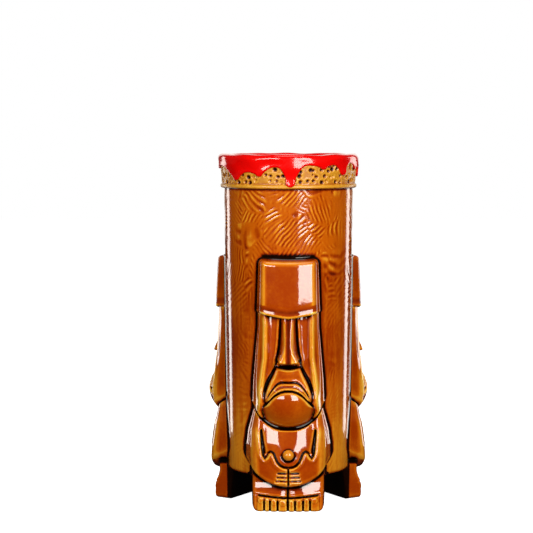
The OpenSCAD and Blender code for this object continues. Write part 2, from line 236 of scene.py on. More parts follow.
@dataclass
class CarvedFigure:
    """One standing figure as fields of distance, in millimetres.

    The fields take x across, q out from the cup's axis and z up, and are negative inside the clay.

    Attributes:
        cup: The cup that the figure stands against.
        draft: How fast the sides lean inwards, per unit of height over the cup.
        fillet: Radius of clay and glaze in the corner between the figure and the cup.
        sink: How deep each piece goes into the cup's wall.
        brow_box: The brow's box in the solid model; the six below are the other pieces' boxes.
        face_box: The face's box.
        nose_box: The nose's box.
        chin_box: The chin's box.
        torso_box: The torso's box.
        navel_box: The navel's box.
        feet_box: The box of the block of feet.
    """

    cup: CupSizes
    draft: float = 0.26
    fillet: float = 1.1
    sink: float = 1.2
    brow_box: Box = field(default_factory=lambda: Box.of("front_brow"))
    face_box: Box = field(default_factory=lambda: Box.of("front_face"))
    nose_box: Box = field(default_factory=lambda: Box.of("front_nose"))
    chin_box: Box = field(default_factory=lambda: Box.of("front_chin"))
    torso_box: Box = field(default_factory=lambda: Box.of("front_torso"))
    navel_box: Box = field(default_factory=lambda: Box.of("front_navel"))
    feet_box: Box = field(default_factory=lambda: Box.of("front_feet"))

    # ---- shared curves

    def cup_field(self, x: Array, q: Array, z: Array) -> Array:
        """Distance outside the cup's plain wall and underside."""
        side = np.sqrt(x * x + q * q) - self.cup.outer(z)
        return round_max(side, self.cup.underside - z, 2.0)

    def chin_line(self, x: Array) -> Array:
        """Height of the groove under the chin and jaw."""
        return self.chin_box.low[2] - 0.6 + 8.7 * (np.abs(x) / 16.6) ** 2.8

    def mouth_line(self, x: Array) -> Array:
        """Height of the line between the lips, carried on to the jaw's corners."""
        ax = np.abs(x)
        top = self.chin_box.high[2] - 0.2
        return along(ax, [(0, top), (2, top - 0.1), (4, top - 0.7), (6, top - 1.8), (7.6, top - 3.0),
                          (9.5, top - 5.0), (11.2, top - 7.3), (13, top - 9.2), (18, top - 12.6)])

    def lip_line(self, x: Array) -> Array:
        """Height of the groove over the upper lip."""
        ax = np.abs(x)
        top = self.chin_box.high[2] + 4.1
        return along(ax, [(0, top), (3.8, top), (5.4, top - 0.7), (7.1, top - 2.3), (9, top - 4.9),
                          (10.8, top - 8.0), (12.5, top - 11.0), (18, top - 18)])

    def nose_half(self, z: Array) -> Array:
        """Half width of the nose's foot at a height."""
        return along(z, [(76, 6.2), (79, 5.9), (82.4, 5.1), (89.6, 4.4), (98.3, 3.9), (104, 3.8)])

    def ridge_place(self, z: Array) -> Array:
        """How far from the middle the cheek's ridge runs at a height."""
        return along(z, [(50, 15.2), (62, 14.4), (72, 13.2), (80, 12.1), (97, 11.9), (104, 12.3)])

    # ---- pieces

    def brow_edge(self, x: Array) -> Array:
        """Height of the brow's lower edge, lowest in the middle."""
        return self.brow_box.low[2] + 3.0 * (np.abs(x) / 16.4) ** 1.25

    def brow(self, x: Array, q: Array, z: Array) -> Array:
        """The heavy block over the eyes."""
        low, high = self.brow_box.low[2], self.brow_box.high[2]
        ax = np.abs(x)
        half = along(z, [(low, 16.4), (low + 6, 16.0), (high, 15.3)])
        lower = low + 0.1 + 3.0 * (ax / 16.4) ** 1.25
        sides = round_max(ax - half, z - high, 2.6) + self.draft * (q - 30.5)
        front = 39.8 - (z - low) * 0.058 - 2.4 * (x / 15.0) ** 2
        over = z - lower
        front = front + 0.15 * np.exp(-np.maximum(over, 0.0) / 0.8) - 0.2 * bell(over - 3.0, 2.0)
        block = round_max(sides, (q - front) * 0.97, 1.9)
        return round_max(block, (lower - z) * 0.97, 1.2)

    def head_front(self, x: Array, z: Array) -> Array:
        """How far out the face and chin reach at a point of the front."""
        ax = np.abs(x)
        ridge = self.ridge_place(z)
        base = along(z, [(50, 36.2), (66, 36.2), (80, 35.6), (100, 34.4), (104, 34.0)])
        cheek = base - 1.7 * smooth_step(0.0, 3.6, ax - ridge) - 0.05 * np.maximum(ax - ridge, 0) ** 2
        cheek = cheek + 1.55 * bell(ax - ridge, 1.5) - 0.35 * bell(ax - ridge + 4.0, 2.4)
        cheek = cheek + 0.7 * bell(ax - self.nose_half(z) - 1.1, 0.9) * smooth_step(72, 78, z)

        chin_low, chin_high = self.chin_box.low[2], self.chin_box.high[2]
        jaw = chin_low + 13.6
        round_share = 1.0 - (x / 16.2) ** 2 - ((z - jaw) / 15.7) ** 2
        ball = 29.8 + 17.4 * np.sqrt(np.clip(round_share, 0.0004, 1.0))

        muzzle_top = along(z, [(chin_high - 8, 45.0), (chin_high, 44.4), (chin_high + 4, 42.2),
                               (chin_high + 9, 39.4), (chin_high + 13, 37.4), (chin_high + 16, 36.6)])
        muzzle = muzzle_top - 4.4 * (x / 12.5) ** 2

        mouth, lip = self.mouth_line(x), self.lip_line(x)
        tier = (z - mouth) / np.maximum(lip - mouth, 0.6)
        lips_on = smooth_step(12.6, 10.4, ax)
        lips = (1.25 * bell(tier - 0.27, 0.2) + 0.85 * bell(tier - 0.72, 0.17)) * lips_on
        muzzle = muzzle + lips

        inside = -region_distance(x, z, self.muzzle_region())
        share = smooth_step(-0.2, 2.2, inside) * smooth_step(55.0, 59.5, z)
        face = np.maximum(cheek * (1.0 - share) + np.maximum(muzzle, cheek) * share, 20.0)
        groove = line_distance(ax, z, self.cheek_line())
        face = face - 1.3 * bell(groove, 0.75)
        oval = np.sqrt((x / 5.7) ** 2 + ((z - self.nose_box.low[2] + 1.1) / 2.1) ** 2)
        face = face - 2.4 * smooth_step(1.15, 0.55, oval)

        below = smooth_step(0.5, -0.5, z - mouth)
        blend = smooth_step(11.0, 14.5, ax)
        side = cheek - 0.2 - 2.0 * smooth_step(-3.0, 3.0, self.chin_line(x) + 3 - z)
        lower = -smooth_min(-ball, -side, 5.0)
        front = face * (1.0 - below) + lower * below
        soft = -smooth_min(-face, -lower, 2.0)
        front = front * (1.0 - blend) + soft * blend
        ends = smooth_step(12.2, 10.6, ax)
        front = front - 1.5 * bell(z - mouth, 0.62) * ends
        front = front - 1.0 * bell(z - lip, 0.6) * smooth_step(11.6, 9.8, ax)
        return front

    def muzzle_region(self) -> list[Point2]:
        """Outline of the raised part round the mouth."""
        line = [p for p in self.cheek_line() if p[1] < 77.0]
        right = [(px, pz) for px, pz in line]
        left = [(-px, pz) for px, pz in reversed(line)]
        return right + [(13.4, 50.0), (-13.4, 50.0)] + left

    def cheek_line(self) -> list[Point2]:
        """Line from beside the nose down round the mouth, on the right half."""
        return [(3.9, 99.0), (4.3, 92.0), (4.7, 86.5), (5.4, 81.5), (6.6, 76.0), (8.3, 72.2), (10.0, 69.2),
                (11.6, 66.0), (12.9, 62.8), (13.4, 59.6), (13.5, 57.0)]

    def head_sides(self, x: Array, q: Array, z: Array) -> Array:
        """The head's sides, from the brow down to the jaw."""
        half = along(z, [(44, 17.4), (50, 17.8), (56, 17.8), (68, 17.5), (80, 16.7), (96, 15.6), (104, 15.5)])
        return (np.abs(x) - half) * 0.99 + self.draft * (q - 30.5)

    def face(self, x: Array, q: Array, z: Array) -> Array:
        """Cheeks, muzzle and lips, down to the line of the mouth."""
        front = self.head_front(x, z)
        past = self.mouth_line(x) - z
        front = front - 0.35 * np.maximum(past, 0.0)
        block = round_max(self.head_sides(x, q, z), (q - front) * 0.93, 0.9)
        block = round_max(block, past - 2.0, 0.3)
        block = round_max(block, (self.chin_line(x) - z) * 0.9, 0.8)
        return np.maximum(block, z - self.face_box.high[2])

    def chin(self, x: Array, q: Array, z: Array) -> Array:
        """The big ball of the chin, under the line of the mouth."""
        front = self.head_front(x, z)
        past = z - self.mouth_line(x)
        front = front - 0.35 * np.maximum(past, 0.0)
        block = round_max(self.head_sides(x, q, z), (q - front) * 0.9, 0.9)
        block = round_max(block, past - 2.0, 0.3)
        return round_max(block, (self.chin_line(x) - z) * 0.9, 1.2)

    def nose(self, x: Array, q: Array, z: Array) -> Array:
        """The long nose, with a shallow channel down its front."""
        low = self.nose_box.low[2] + 0.7
        ax = np.abs(x)
        foot = self.nose_half(z)
        wing = 0.9 * bell(z - low - 2.2, 2.6)
        front = along(z, [(low - 2, 44.6), (low + 1, 44.7), (low + 4, 44.0), (low + 22, 37.8), (104, 37.2)])
        lean = along(z, [(low, 0.1), (low + 4, 0.2), (low + 9, 0.36), (low + 20, 0.42)])
        sides = (ax - foot - wing * 0.3) * 0.94 + lean * (q - 34.3)
        face = front - 0.15 * bell(ax, 1.1) - 0.1 * ax
        block = round_max(sides, (q - face) * 0.97, 0.75)
        floor = low + 0.12 * (front - q) - z
        return round_max(np.maximum(block, z - self.nose_box.high[2]), floor, 1.2)

    def torso_region(self) -> list[Point2]:
        """Outline of the arm, forearm and hand on the right half."""
        return [(0.0, 23.5), (2.4, 23.7), (4.4, 24.7), (6.0, 26.4), (7.1, 28.8), (7.9, 30.8), (8.9, 31.6),
                (10.0, 31.0), (11.0, 29.2), (12.2, 28.0), (13.4, 29.6), (14.0, 33.0), (14.5, 38.0),
                (14.9, 43.0), (15.4, 50.0), (24.0, 50.0), (24.0, 10.0), (0.0, 10.0)]

    def torso_front(self, x: Array, z: Array) -> Array:
        """How far out the torso reaches at a point of the front."""
        ax = np.abs(x)
        base = along(z, [(12, 39.6), (16, 41.0), (22, 41.6), (28, 41.2), (36, 39.9), (44, 38.3), (52, 36.8)])
        front = base - 3.7 * (ax / 15.0) ** 2
        region = region_distance(ax, z, self.torso_region())
        low_part = smooth_step(44.5, 40.5, z)
        front = front + (1.35 * smooth_step(0.7, -0.7, region) + 0.35 * bell(region + 1.2, 0.9)) * low_part
        front = front - 0.75 * bell(region - 0.5, 0.6) * smooth_step(15.2, 13.6, ax) * low_part
        front = front + 1.2 * smooth_step(12.0, 16.0, ax) * (1.0 - low_part)
        slot = line_distance(ax, z, [(14.0, 42.6), (13.2, 36.0), (12.5, 31.4)])
        width = along(z, [(29, 1.15), (32, 1.0), (38, 0.75), (43, 0.5)])
        front = front - 1.6 * np.exp(-((slot / width) ** 2))
        pectoral = bell(line_distance(ax, z, [(7.0, 40.5), (7.5, 36.5)]), 6.0)
        front = front + 0.4 * pectoral
        front = front - 2.4 * smooth_step(1.7, 0.5, self.chin_line(x) - z)
        belly = np.sqrt(ax * ax + (z - 30.4) ** 2)
        front = front + 0.5 * bell(belly, 6.0)
        front = front - 0.8 * bell(belly - 3.3, 0.6) * smooth_step(32.5, 28.5, z)
        for height, reach in ((21.0, 5.2), (18.8, 5.6), (16.8, 6.2)):
            line = line_distance(ax, z, [(0.9, height), (reach, height + 0.05)])
            front = front - 1.15 * bell(line, 0.62)
        middle = line_distance(x, z, [(0.0, 15.0), (0.0, 23.0)])
        return front - 1.1 * bell(middle, 0.6)

    def torso(self, x: Array, q: Array, z: Array) -> Array:
        """Chest, arms, hands and belly."""
        ax = np.abs(x)
        half = along(z, [(14, 19.0), (20, 19.9), (28, 20.3), (34, 20.2), (42, 19.5), (49, 18.1), (53, 17.2)])
        sides = (ax - half) * 0.99 + self.draft * (q - 30.5)
        front = self.torso_front(x, z)
        block = round_max(sides, (q - front) * 0.96, 2.4)
        block = round_max(block, (self.belly_line(x) - z) * 0.95 + 0.1 * (38.0 - q), 1.5)
        return round_max(block, z - self.chin_line(x) - 1.2, 0.6)

    def navel(self, x: Array, q: Array, z: Array) -> Array:
        """The round button on the belly."""
        middle = 0.5 * (self.navel_box.low[2] + self.navel_box.high[2])
        out = self.torso_box.low[1] * -1.0 - 0.9
        return np.sqrt(x * x + (q - out) ** 2 + (z - middle) ** 2) - 2.9

    def feet_front(self, x: Array, z: Array) -> Array:
        """How far out the feet reach at a point of the front."""
        ax = np.abs(x)
        crease = 6.9 + 1.5 * (ax / 15.5)
        over = z - crease
        toes = 36.9 - 1.5 * (x / 16.0) ** 2 + 0.25 * bell(z - 3.0, 2.5)
        instep = along(z, [(5, 36.9), (8.5, 36.9), (10.5, 36.6), (12.5, 35.8), (15, 35.0), (22, 34.9)])
        instep = instep - 2.0 * (np.maximum(ax - 3.0, 0.0) / 13.0) ** 2 + 0.4 * bell(over - 1.2, 0.9)
        instep = instep - 0.8 * bell(ax, 2.5)
        front = np.where(over > 0.0, instep, toes)
        slits = (-12.5, -9.5, -5.5, 3.5, 7.7, 11.3)
        edges = (-16.2,) + slits[:3] + (-0.2,) + slits[3:] + (16.2,)
        below = smooth_step(0.2, -0.6, over)
        for left, right in zip(edges[:-1], edges[1:]):
            middle, half = 0.5 * (left + right), 0.5 * (right - left)
            crown = np.sqrt(np.clip(1.0 - ((x - middle) / half) ** 2, 0.0, 1.0))
            inside = np.abs(x - middle) <= half
            front = front + np.where(inside, 0.85 * crown * below, 0.0)
            nail = np.sqrt(((x - middle) / (0.62 * half)) ** 2 + ((z - crease + 2.4) / 1.5) ** 2)
            front = front + 0.45 * smooth_step(1.15, 0.75, nail)
        for place in slits:
            slit = line_distance(x, z, [(place, 0.2), (place, 5.3)])
            front = front - 1.5 * bell(slit, 0.55)
        front = front - 1.3 * bell(over, 0.55) * smooth_step(16.2, 15.0, ax)
        split = line_distance(x, z, [(-0.2, -2.0), (-0.2, 13.0)])
        return front - 1.8 * bell(split, 0.6)

    def feet(self, x: Array, q: Array, z: Array) -> Array:
        """The block of two feet."""
        ax = np.abs(x)
        half = along(z, [(0, 18.1), (8, 18.3), (21, 18.2)])
        sides = (ax - half) * 0.99 + 0.08 * (q - 34.0)
        corner = round_max(sides, -z, 2.4)
        front = self.feet_front(x, z)
        block = round_max(corner, (q - front) * 0.96, 1.3)
        heel = along(z, [(0, 24.9), (5, 24.6), (12, 23.4), (18, 22.3), (22, 22.3)])
        block = round_max(block, heel - q, 1.2)
        return np.maximum(block, z - self.feet_box.high[2])

    def raw(self, piece: Piece) -> Field:
        """The field of one piece without its foot on the cup."""
        return {
            Piece.BROW: self.brow, Piece.FACE: self.face, Piece.NOSE: self.nose, Piece.CHIN: self.chin,
            Piece.TORSO: self.torso, Piece.NAVEL: self.navel, Piece.FEET: self.feet,
        }[piece]

    def bedded(self, piece: Piece) -> Field:
        """One piece with a fillet towards the cup, and closed inside the cup's wall.

        Args:
            piece: Which piece.

        Returns:
            Its field.
        """
        shape = self.raw(piece)

        def bedded_field(x: Array, q: Array, z: Array) -> Array:
            """The piece with its fillet, cut off inside the wall."""
            solid = shape(x, q, z)
            wall = self.cup_field(x, q, z)
            if piece in (Piece.BROW, Piece.FACE, Piece.CHIN, Piece.TORSO, Piece.FEET):
                spread = np.maximum(smooth_min(solid, wall + 0.12, self.fillet * 2.0), solid - 2.2)
                solid = np.minimum(solid, spread)
            return np.maximum(solid, -self.sink - wall)

        return bedded_field

    def belly_line(self, x: Array) -> Array:
        """Height of the belly's lower edge."""
        return self.torso_box.low[2] - 0.4 + 7.2 * (np.abs(x) / 18.1) ** 2.2

    def gathered_and_shade(self, piece: Piece, x: Array, q: Array, z: Array) -> Array:
        """Glaze that has run into the deep corners of a piece, with painted shade under the nose, chin and
        belly and on the feet, from 0 to 1.

        Args:
            piece: Which piece.
            x: Across the figure.
            q: Out from the cup's axis.
            z: Up the figure.

        Returns:
            The thickness of the run glaze and painted shade at each place.
        """
        own = self.raw(piece)(x, q, z)
        gap = np.sqrt(x * x + q * q) - self.cup.outer(z)
        # Painted shade and pooled glaze in the corner where the piece meets the cup's wall.
        total = 0.75 * smooth_step(1.25, 0.75, own) * smooth_step(1.2, 0.6, gap)
        if piece is Piece.BROW:
            # Painted shade and pooled glaze in a dark strip over the brow's top, where it meets the wall.
            shelf = bell(z - self.brow_box.high[2] - 1.0, 1.3) * smooth_step(15.0, 12.8, np.abs(x))
            total = np.maximum(total, shelf * smooth_step(2.4, 1.5, gap))
            low = self.brow_edge(x)
            # Painted shade in a band just above the brow's lower edge, partly thick glaze.
            total = np.maximum(total, 0.22 * bell(z - low - 3.2, 1.4))
        if piece is Piece.NOSE:
            # Painted shadow under the nose, darkest at the nose's foot.
            total = np.maximum(total, 0.9 * smooth_step(1.1, 0.5, z - self.nose_box.low[2]))
            # Painted shade down the middle of the nose, along its shallow channel.
            total = np.maximum(total, 0.45 * bell(x, 0.9))
        if piece is Piece.TORSO:
            # Painted shade on the belly's underside, below its lower edge.
            total = np.maximum(total, 0.4 * smooth_step(0.4, -0.3, z - self.belly_line(x)))
            # Painted shadow under the chin, on the top of the torso.
            total = np.maximum(total, 0.95 * smooth_step(1.5, 0.8, self.chin_line(x) - z))
        if piece is Piece.FEET:
            # Painted shadow on the feet just under the belly.
            total = np.maximum(total, smooth_step(3.0, 1.6, self.belly_line(x) - z))
            # Painted shade on the feet's hidden back faces, close to the cup.
            total = np.maximum(total, 0.75 * smooth_step(25.2, 24.8, q))
        return total

    def rubbed(self, piece: Piece, x: Array, q: Array, z: Array) -> Array:
        """How thin the glaze lies on the high parts of a piece.

        Args:
            piece: Which piece.
            x: Across the figure.
            q: Out from the cup's axis.
            z: Up the figure.

        Returns:
            The missing thickness at each place.
        """
        ax = np.abs(x)
        if piece is Piece.NAVEL:
            return np.full(x.shape, 0.2, dtype=np.float32)
        if piece is Piece.BROW:
            low = self.brow_edge(x)
            border = round_max(ax - 12.6, z - self.brow_box.high[2] + 2.4, 2.0)
            total = 0.2 * bell(border, 0.9) + 0.08 * smooth_step(0.0, 1.5, border)
            return (total + 0.25 * bell(z - low - 0.6, 0.6)) * smooth_step(34.5, 36.0, q)
        if piece is Piece.FACE:
            return 0.12 * bell(ax - self.ridge_place(z), 1.8) * smooth_step(50.0, 60.0, z)
        if piece is Piece.NOSE:
            return 0.2 * bell(ax - 2.1, 0.8) * smooth_step(36.0, 38.0, q)
        if piece is Piece.TORSO:
            arm = smooth_step(14.2, 17.0, ax) * smooth_step(46.0, 41.0, z)
            hand = smooth_step(9.0, 4.0, ax) * smooth_step(24.0, 21.0, z)
            return (0.14 * arm + 0.1 * hand) * smooth_step(30.0, 34.0, q)
        if piece is Piece.FEET:
            return 0.16 * smooth_step(8.0, 6.6, z) * smooth_step(34.5, 36.0, q)
        return np.zeros(x.shape, dtype=np.float32)

    def whole(self, x: Array, q: Array, z: Array) -> Array:
        """All the pieces and the cup as one field, which tells hollows from edges."""
        total = self.cup_field(x, q, z)
        for piece in Piece:
            total = np.minimum(total, self.raw(piece)(x, q, z))
        return total


def pooling_and_shade(whole: Field, points: Array, normals: Array, reach: Sequence[float]) -> Array:
    """How much glaze gathers at each point, with painted shade: above zero in a hollow, which is darkened as
    pooled glaze and as painted shade, below zero on an edge.

    Args:
        whole: Field of everything near the points.
        points: Places in millimetres, as x, q, z columns.
        normals: Outward directions there.
        reach: Distances at which the surroundings are felt.

    Returns:
        One value for each point, about -1 to 1.
    """
    total = np.zeros(len(points), dtype=np.float32)
    for step in reach:
        for side in (1.0, -1.0):
            spot = points + normals * (step * side)
            value = whole(spot[:, 0], spot[:, 1], spot[:, 2])
            total += (side * step - value) / step * 0.5
    return total / len(reach)


# ---------------------------------------------------------------- meshes


def link(obj: bpy.types.Object) -> bpy.types.Object:
    """Put an object into the scene."""
    bpy.context.scene.collection.objects.link(obj)
    return obj


def make_object(name: str, points: Array, faces: Sequence[Sequence[int]],
                pool: Array | None = None) -> bpy.types.Object:
    """Make a smooth mesh object.

    Args:
        name: Name of the object.
        points: Its vertices in metres.
        faces: Its faces.
        pool: Glaze pooling and painted shade at each vertex, if known.

    Returns:
        The linked object.
    """
    mesh = bpy.data.meshes.new(name)
    mesh.from_pydata(points.tolist(), [], faces)
    mesh.update()
    if pool is not None:
        # The pooling attribute holds pooled glaze and painted shade, darker in hollows and paler on edges.
        layer = mesh.attributes.new("pool", "FLOAT", "POINT")
        layer.data.foreach_set("value", np.ascontiguousarray(pool, dtype=np.float32))
    mesh.shade_smooth()
    return link(bpy.data.objects.new(name, mesh))


def polygonise(shape: Field, low: Sequence[float], high: Sequence[float],
               step: float) -> tuple[Array, list[list[int]]]:
    """Skin a field.

    Args:
        shape: The field, in millimetres, over (x, q, z).
        low: Lowest corner to look at.
        high: Highest corner.
        step: Spacing of the samples.

    Returns:
        Points as x, q, z columns in millimetres, and faces.
    """
    axes = [np.arange(a - 2 * step, b + 3 * step, step, dtype=np.float32) for a, b in zip(low, high)]
    x, q, z = np.meshgrid(*axes, indexing="ij", sparse=True)
    x, q, z = np.broadcast_arrays(x, q, z)
    samples = np.clip(shape(x, q, z), -4 * step, 4 * step).astype(np.float32)
    grid = openvdb.FloatGrid(4.0 * step)
    grid.copyFromArray(np.ascontiguousarray(samples))
    points, triangles, quads = grid.convertToPolygons(isovalue=0.0, adaptivity=0.0)
    points = np.asarray(points, dtype=np.float32) * step + np.array([a[0] for a in axes], dtype=np.float32)
    faces = [list(map(int, f)) for f in triangles] + [list(map(int, f)) for f in quads]
    return points, faces


def settle(shape: Field, points: Array, rounds: int = 2) -> tuple[Array, Array]:
    """Move points onto a field's skin and measure its outward directions.

    Args:
        shape: The field.
        points: Places close to its skin.
        rounds: How many corrections.

    Returns:
        The corrected points and the unit directions.
    """
    gap = 0.08
    normals = points
    for _ in range(rounds):
        slopes = []
        for axis in range(3):
            ahead, behind = points.copy(), points.copy()
            ahead[:, axis] += gap
            behind[:, axis] -= gap
            slopes.append(shape(*ahead.T) - shape(*behind.T))
        slope = np.stack(slopes, axis=1) / (2 * gap)
        size = np.maximum(np.linalg.norm(slope, axis=1, keepdims=True), 1e-4)
        normals = slope / size
        value = shape(*points.T)[:, None]
        move = np.clip(-value / np.maximum(size, 0.35), -0.15, 0.15)
        points = points + normals * move
    return points.astype(np.float32), normals.astype(np.float32)


# ---------------------------------------------------------------- finishes


def srgb(red: float, green: float, blue: float) -> tuple[float, float, float, float]:
    """A colour given in screen values 0 to 255, as the light values that shaders use."""
    def light(value: float) -> float:
        """One channel of the colour."""
        v = value / 255.0
        return v / 12.92 if v <= 0.04045 else ((v + 0.055) / 1.055) ** 2.4

    return light(red), light(green), light(blue), 1.0


class Nodes:
    """A short way to add and join the nodes of a material or a geometry tree."""

    def __init__(self, tree: bpy.types.NodeTree) -> None:
        """Keep the tree."""
        self.tree = tree

    def add(self, kind: str, **settings: object) -> bpy.types.Node:
        """Add a node and set its properties."""
        node = self.tree.nodes.new(kind)
        for name, value in settings.items():
            setattr(node, name, value)
        return node

    def join(self, source: bpy.types.NodeSocket, target: bpy.types.NodeSocket) -> None:
        """Join an output to an input."""
        self.tree.links.new(source, target)

    def feed(self, target: bpy.types.NodeSocket, value: object) -> None:
        """Give an input a socket or a plain value."""
        if isinstance(value, bpy.types.NodeSocket):
            self.join(value, target)
        else:
            target.default_value = value

    def math(self, operation: str, a: object, b: object = 0.0, c: object = 0.0) -> bpy.types.NodeSocket:
        """One arithmetic step."""
        node = self.add("ShaderNodeMath", operation=operation)
        for socket, value in zip(node.inputs, (a, b, c)):
            self.feed(socket, value)
        return node.outputs[0]

    def vector(self, operation: str, a: object, b: object = (0.0, 0.0, 0.0)) -> bpy.types.Node:
        """One vector step; the caller picks its output."""
        node = self.add("ShaderNodeVectorMath", operation=operation)
        self.feed(node.inputs[0], a)
        if operation == "SCALE":
            self.feed(node.inputs["Scale"], b)
        else:
            self.feed(node.inputs[1], b)
        return node

    def remap(self, value: object, low: float, high: float, to_low: float = 0.0, to_high: float = 1.0,
              smooth: bool = True) -> bpy.types.NodeSocket:
        """Spread a value from one range over another, held at its ends."""
        node = self.add("ShaderNodeMapRange", interpolation_type="SMOOTHSTEP" if smooth else "LINEAR")
        self.feed(node.inputs["Value"], value)
        for name, amount in (("From Min", low), ("From Max", high), ("To Min", to_low), ("To Max", to_high)):
            node.inputs[name].default_value = amount
        return node.outputs["Result"]


@dataclass(frozen=True)
class Glaze:
    """A coloured glass coat that is pale where it is thin, and dark where it pools and where painted shade is
    laid into its pooling value.

    Attributes:
        name: Name of the material.
        stops: (thickness 0 to 1, colour) pairs from thin to thick.
        resting: Thickness on a level surface.
        pull: How strongly hollows and edges change the thickness, through the pooling value that also holds
            painted shade.
        drift: How much the thickness wanders over the piece.
        drift_size: Size of that wandering, in millimetres.
        gloss: Roughness of the fired surface.
        coat: Weight of the clear top coat.
        ripple: Height of the fine ripple in the glass, as bump strength.
        grain: How much the thickness varies in upright streaks.
    """

    name: str
    stops: tuple[tuple[float, tuple[float, float, float, float]], ...]
    resting: float = 0.5
    pull: float = 1.0
    drift: float = 0.12
    drift_size: float = 14.0
    gloss: float = 0.07
    coat: float = 0.3
    ripple: float = 0.04
    grain: float = 0.0

    def material(self) -> bpy.types.Material:
        """Build the material."""
        material = bpy.data.materials.new(self.name)
        material.use_nodes = True
        tree = material.node_tree
        tree.nodes.clear()
        nodes = Nodes(tree)
        place = nodes.add("ShaderNodeTexCoord").outputs["Object"]
        # Pooling value: pooled glaze and painted shade in hollows, thin glaze on edges.
        pool = nodes.add("ShaderNodeAttribute", attribute_name="pool").outputs["Fac"]

        wander = nodes.add("ShaderNodeTexNoise")
        nodes.join(place, wander.inputs["Vector"])
        wander.inputs["Scale"].default_value = 1.0 / (self.drift_size * MM)
        wander.inputs["Detail"].default_value = 4.0
        wander.inputs["Roughness"].default_value = 0.55
        fine = nodes.add("ShaderNodeTexNoise")
        nodes.join(place, fine.inputs["Vector"])
        fine.inputs["Scale"].default_value = 1.0 / (1.3 * MM)
        fine.inputs["Detail"].default_value = 3.0

        drift = nodes.math("MULTIPLY_ADD", wander.outputs["Fac"], 2.0 * self.drift, self.resting - self.drift)
        speck = nodes.math("MULTIPLY_ADD", fine.outputs["Fac"], 0.08, -0.04)
        thick = nodes.math("MULTIPLY_ADD", pool, self.pull, nodes.math("ADD", drift, speck))
        if self.grain > 0.0:
            upright = nodes.vector("MULTIPLY", place, (1.0, 1.0, 0.07)).outputs[0]
            streak = nodes.add("ShaderNodeTexNoise")
            nodes.join(upright, streak.inputs["Vector"])
            streak.inputs["Scale"].default_value = 1.0 / (1.7 * MM)
            streak.inputs["Detail"].default_value = 3.0
            thick = nodes.math("ADD", thick, nodes.math("MULTIPLY_ADD", streak.outputs["Fac"],
                                                        2.0 * self.grain, -self.grain))

        ramp = nodes.add("ShaderNodeValToRGB")
        ramp.color_ramp.interpolation = "EASE"
        while len(ramp.color_ramp.elements) < len(self.stops):
            ramp.color_ramp.elements.new(0.5)
        for element, (position, colour) in zip(ramp.color_ramp.elements, self.stops):
            element.position = position
            element.color = colour
        nodes.join(thick, ramp.inputs["Fac"])

        swell = nodes.add("ShaderNodeTexNoise")
        nodes.join(place, swell.inputs["Vector"])
        swell.inputs["Scale"].default_value = 1.0 / (4.5 * MM)
        swell.inputs["Detail"].default_value = 2.0
        bump = nodes.add("ShaderNodeBump")
        bump.inputs["Strength"].default_value = self.ripple
        bump.inputs["Distance"].default_value = 1.0 * MM
        nodes.join(swell.outputs["Fac"], bump.inputs["Height"])

        shader = nodes.add("ShaderNodeBsdfPrincipled")
        nodes.join(ramp.outputs["Color"], shader.inputs["Base Color"])
        nodes.join(bump.outputs["Normal"], shader.inputs["Normal"])
        nodes.join(bump.outputs["Normal"], shader.inputs["Coat Normal"])
        shader.inputs["Roughness"].default_value = self.gloss
        shader.inputs["IOR"].default_value = 1.52
        run = nodes.math("MAXIMUM", nodes.math("MULTIPLY_ADD", thick, 5.0, -4.0), 0.0)
        run = nodes.math("MINIMUM", run, 1.0)
        nodes.join(nodes.math("MULTIPLY_ADD", run, -0.42, 0.5), shader.inputs["Specular IOR Level"])
        nodes.join(nodes.math("MULTIPLY_ADD", run, -self.coat, self.coat), shader.inputs["Coat Weight"])
        shader.inputs["Coat Roughness"].default_value = 0.03
        output = nodes.add("ShaderNodeOutputMaterial")
        nodes.join(shader.outputs[0], output.inputs["Surface"])
        return material


AMBER = Glaze(
    name="amber_glaze",
    stops=(
        (0.0, srgb(234, 184, 72)),
        (0.2, srgb(208, 132, 26)),
        (0.38, srgb(178, 83, 5)),
        (0.52, srgb(146, 50, 0)),
        (0.66, srgb(96, 22, 0)),
        (0.8, srgb(22, 5, 0)),
        (1.0, srgb(6, 2, 0)),
    ),
    resting=0.49,
    pull=1.0,
)
WALL_AMBER = Glaze(
    name="wall_amber_glaze",
    stops=AMBER.stops,
    resting=0.47,
    pull=1.0,
    gloss=0.11,
    drift=0.13,
    drift_size=22.0,
    grain=0.1,
)
GOLD = Glaze(
    name="pumice_glaze",
    stops=(
        (0.0, srgb(230, 192, 92)),
        (0.3, srgb(198, 138, 32)),
        (0.5, srgb(168, 96, 10)),
        (0.68, srgb(96, 26, 2)),
        (1.0, srgb(24, 5, 1)),
    ),
    resting=0.4,
    pull=1.0,
    drift=0.14,
    drift_size=7.0,
    gloss=0.36,
    coat=0.12,
)
RED = Glaze(
    name="red_glaze",
    stops=(
        (0.0, srgb(224, 10, 5)),
        (0.35, srgb(214, 4, 2)),
        (0.6, srgb(204, 2, 1)),
        (1.0, srgb(130, 2, 2)),
    ),
    resting=0.45,
    pull=0.4,
    drift=0.08,
    drift_size=12.0,
    gloss=0.13,
    coat=0.12,
)


# ---------------------------------------------------------------- sub-assemblies


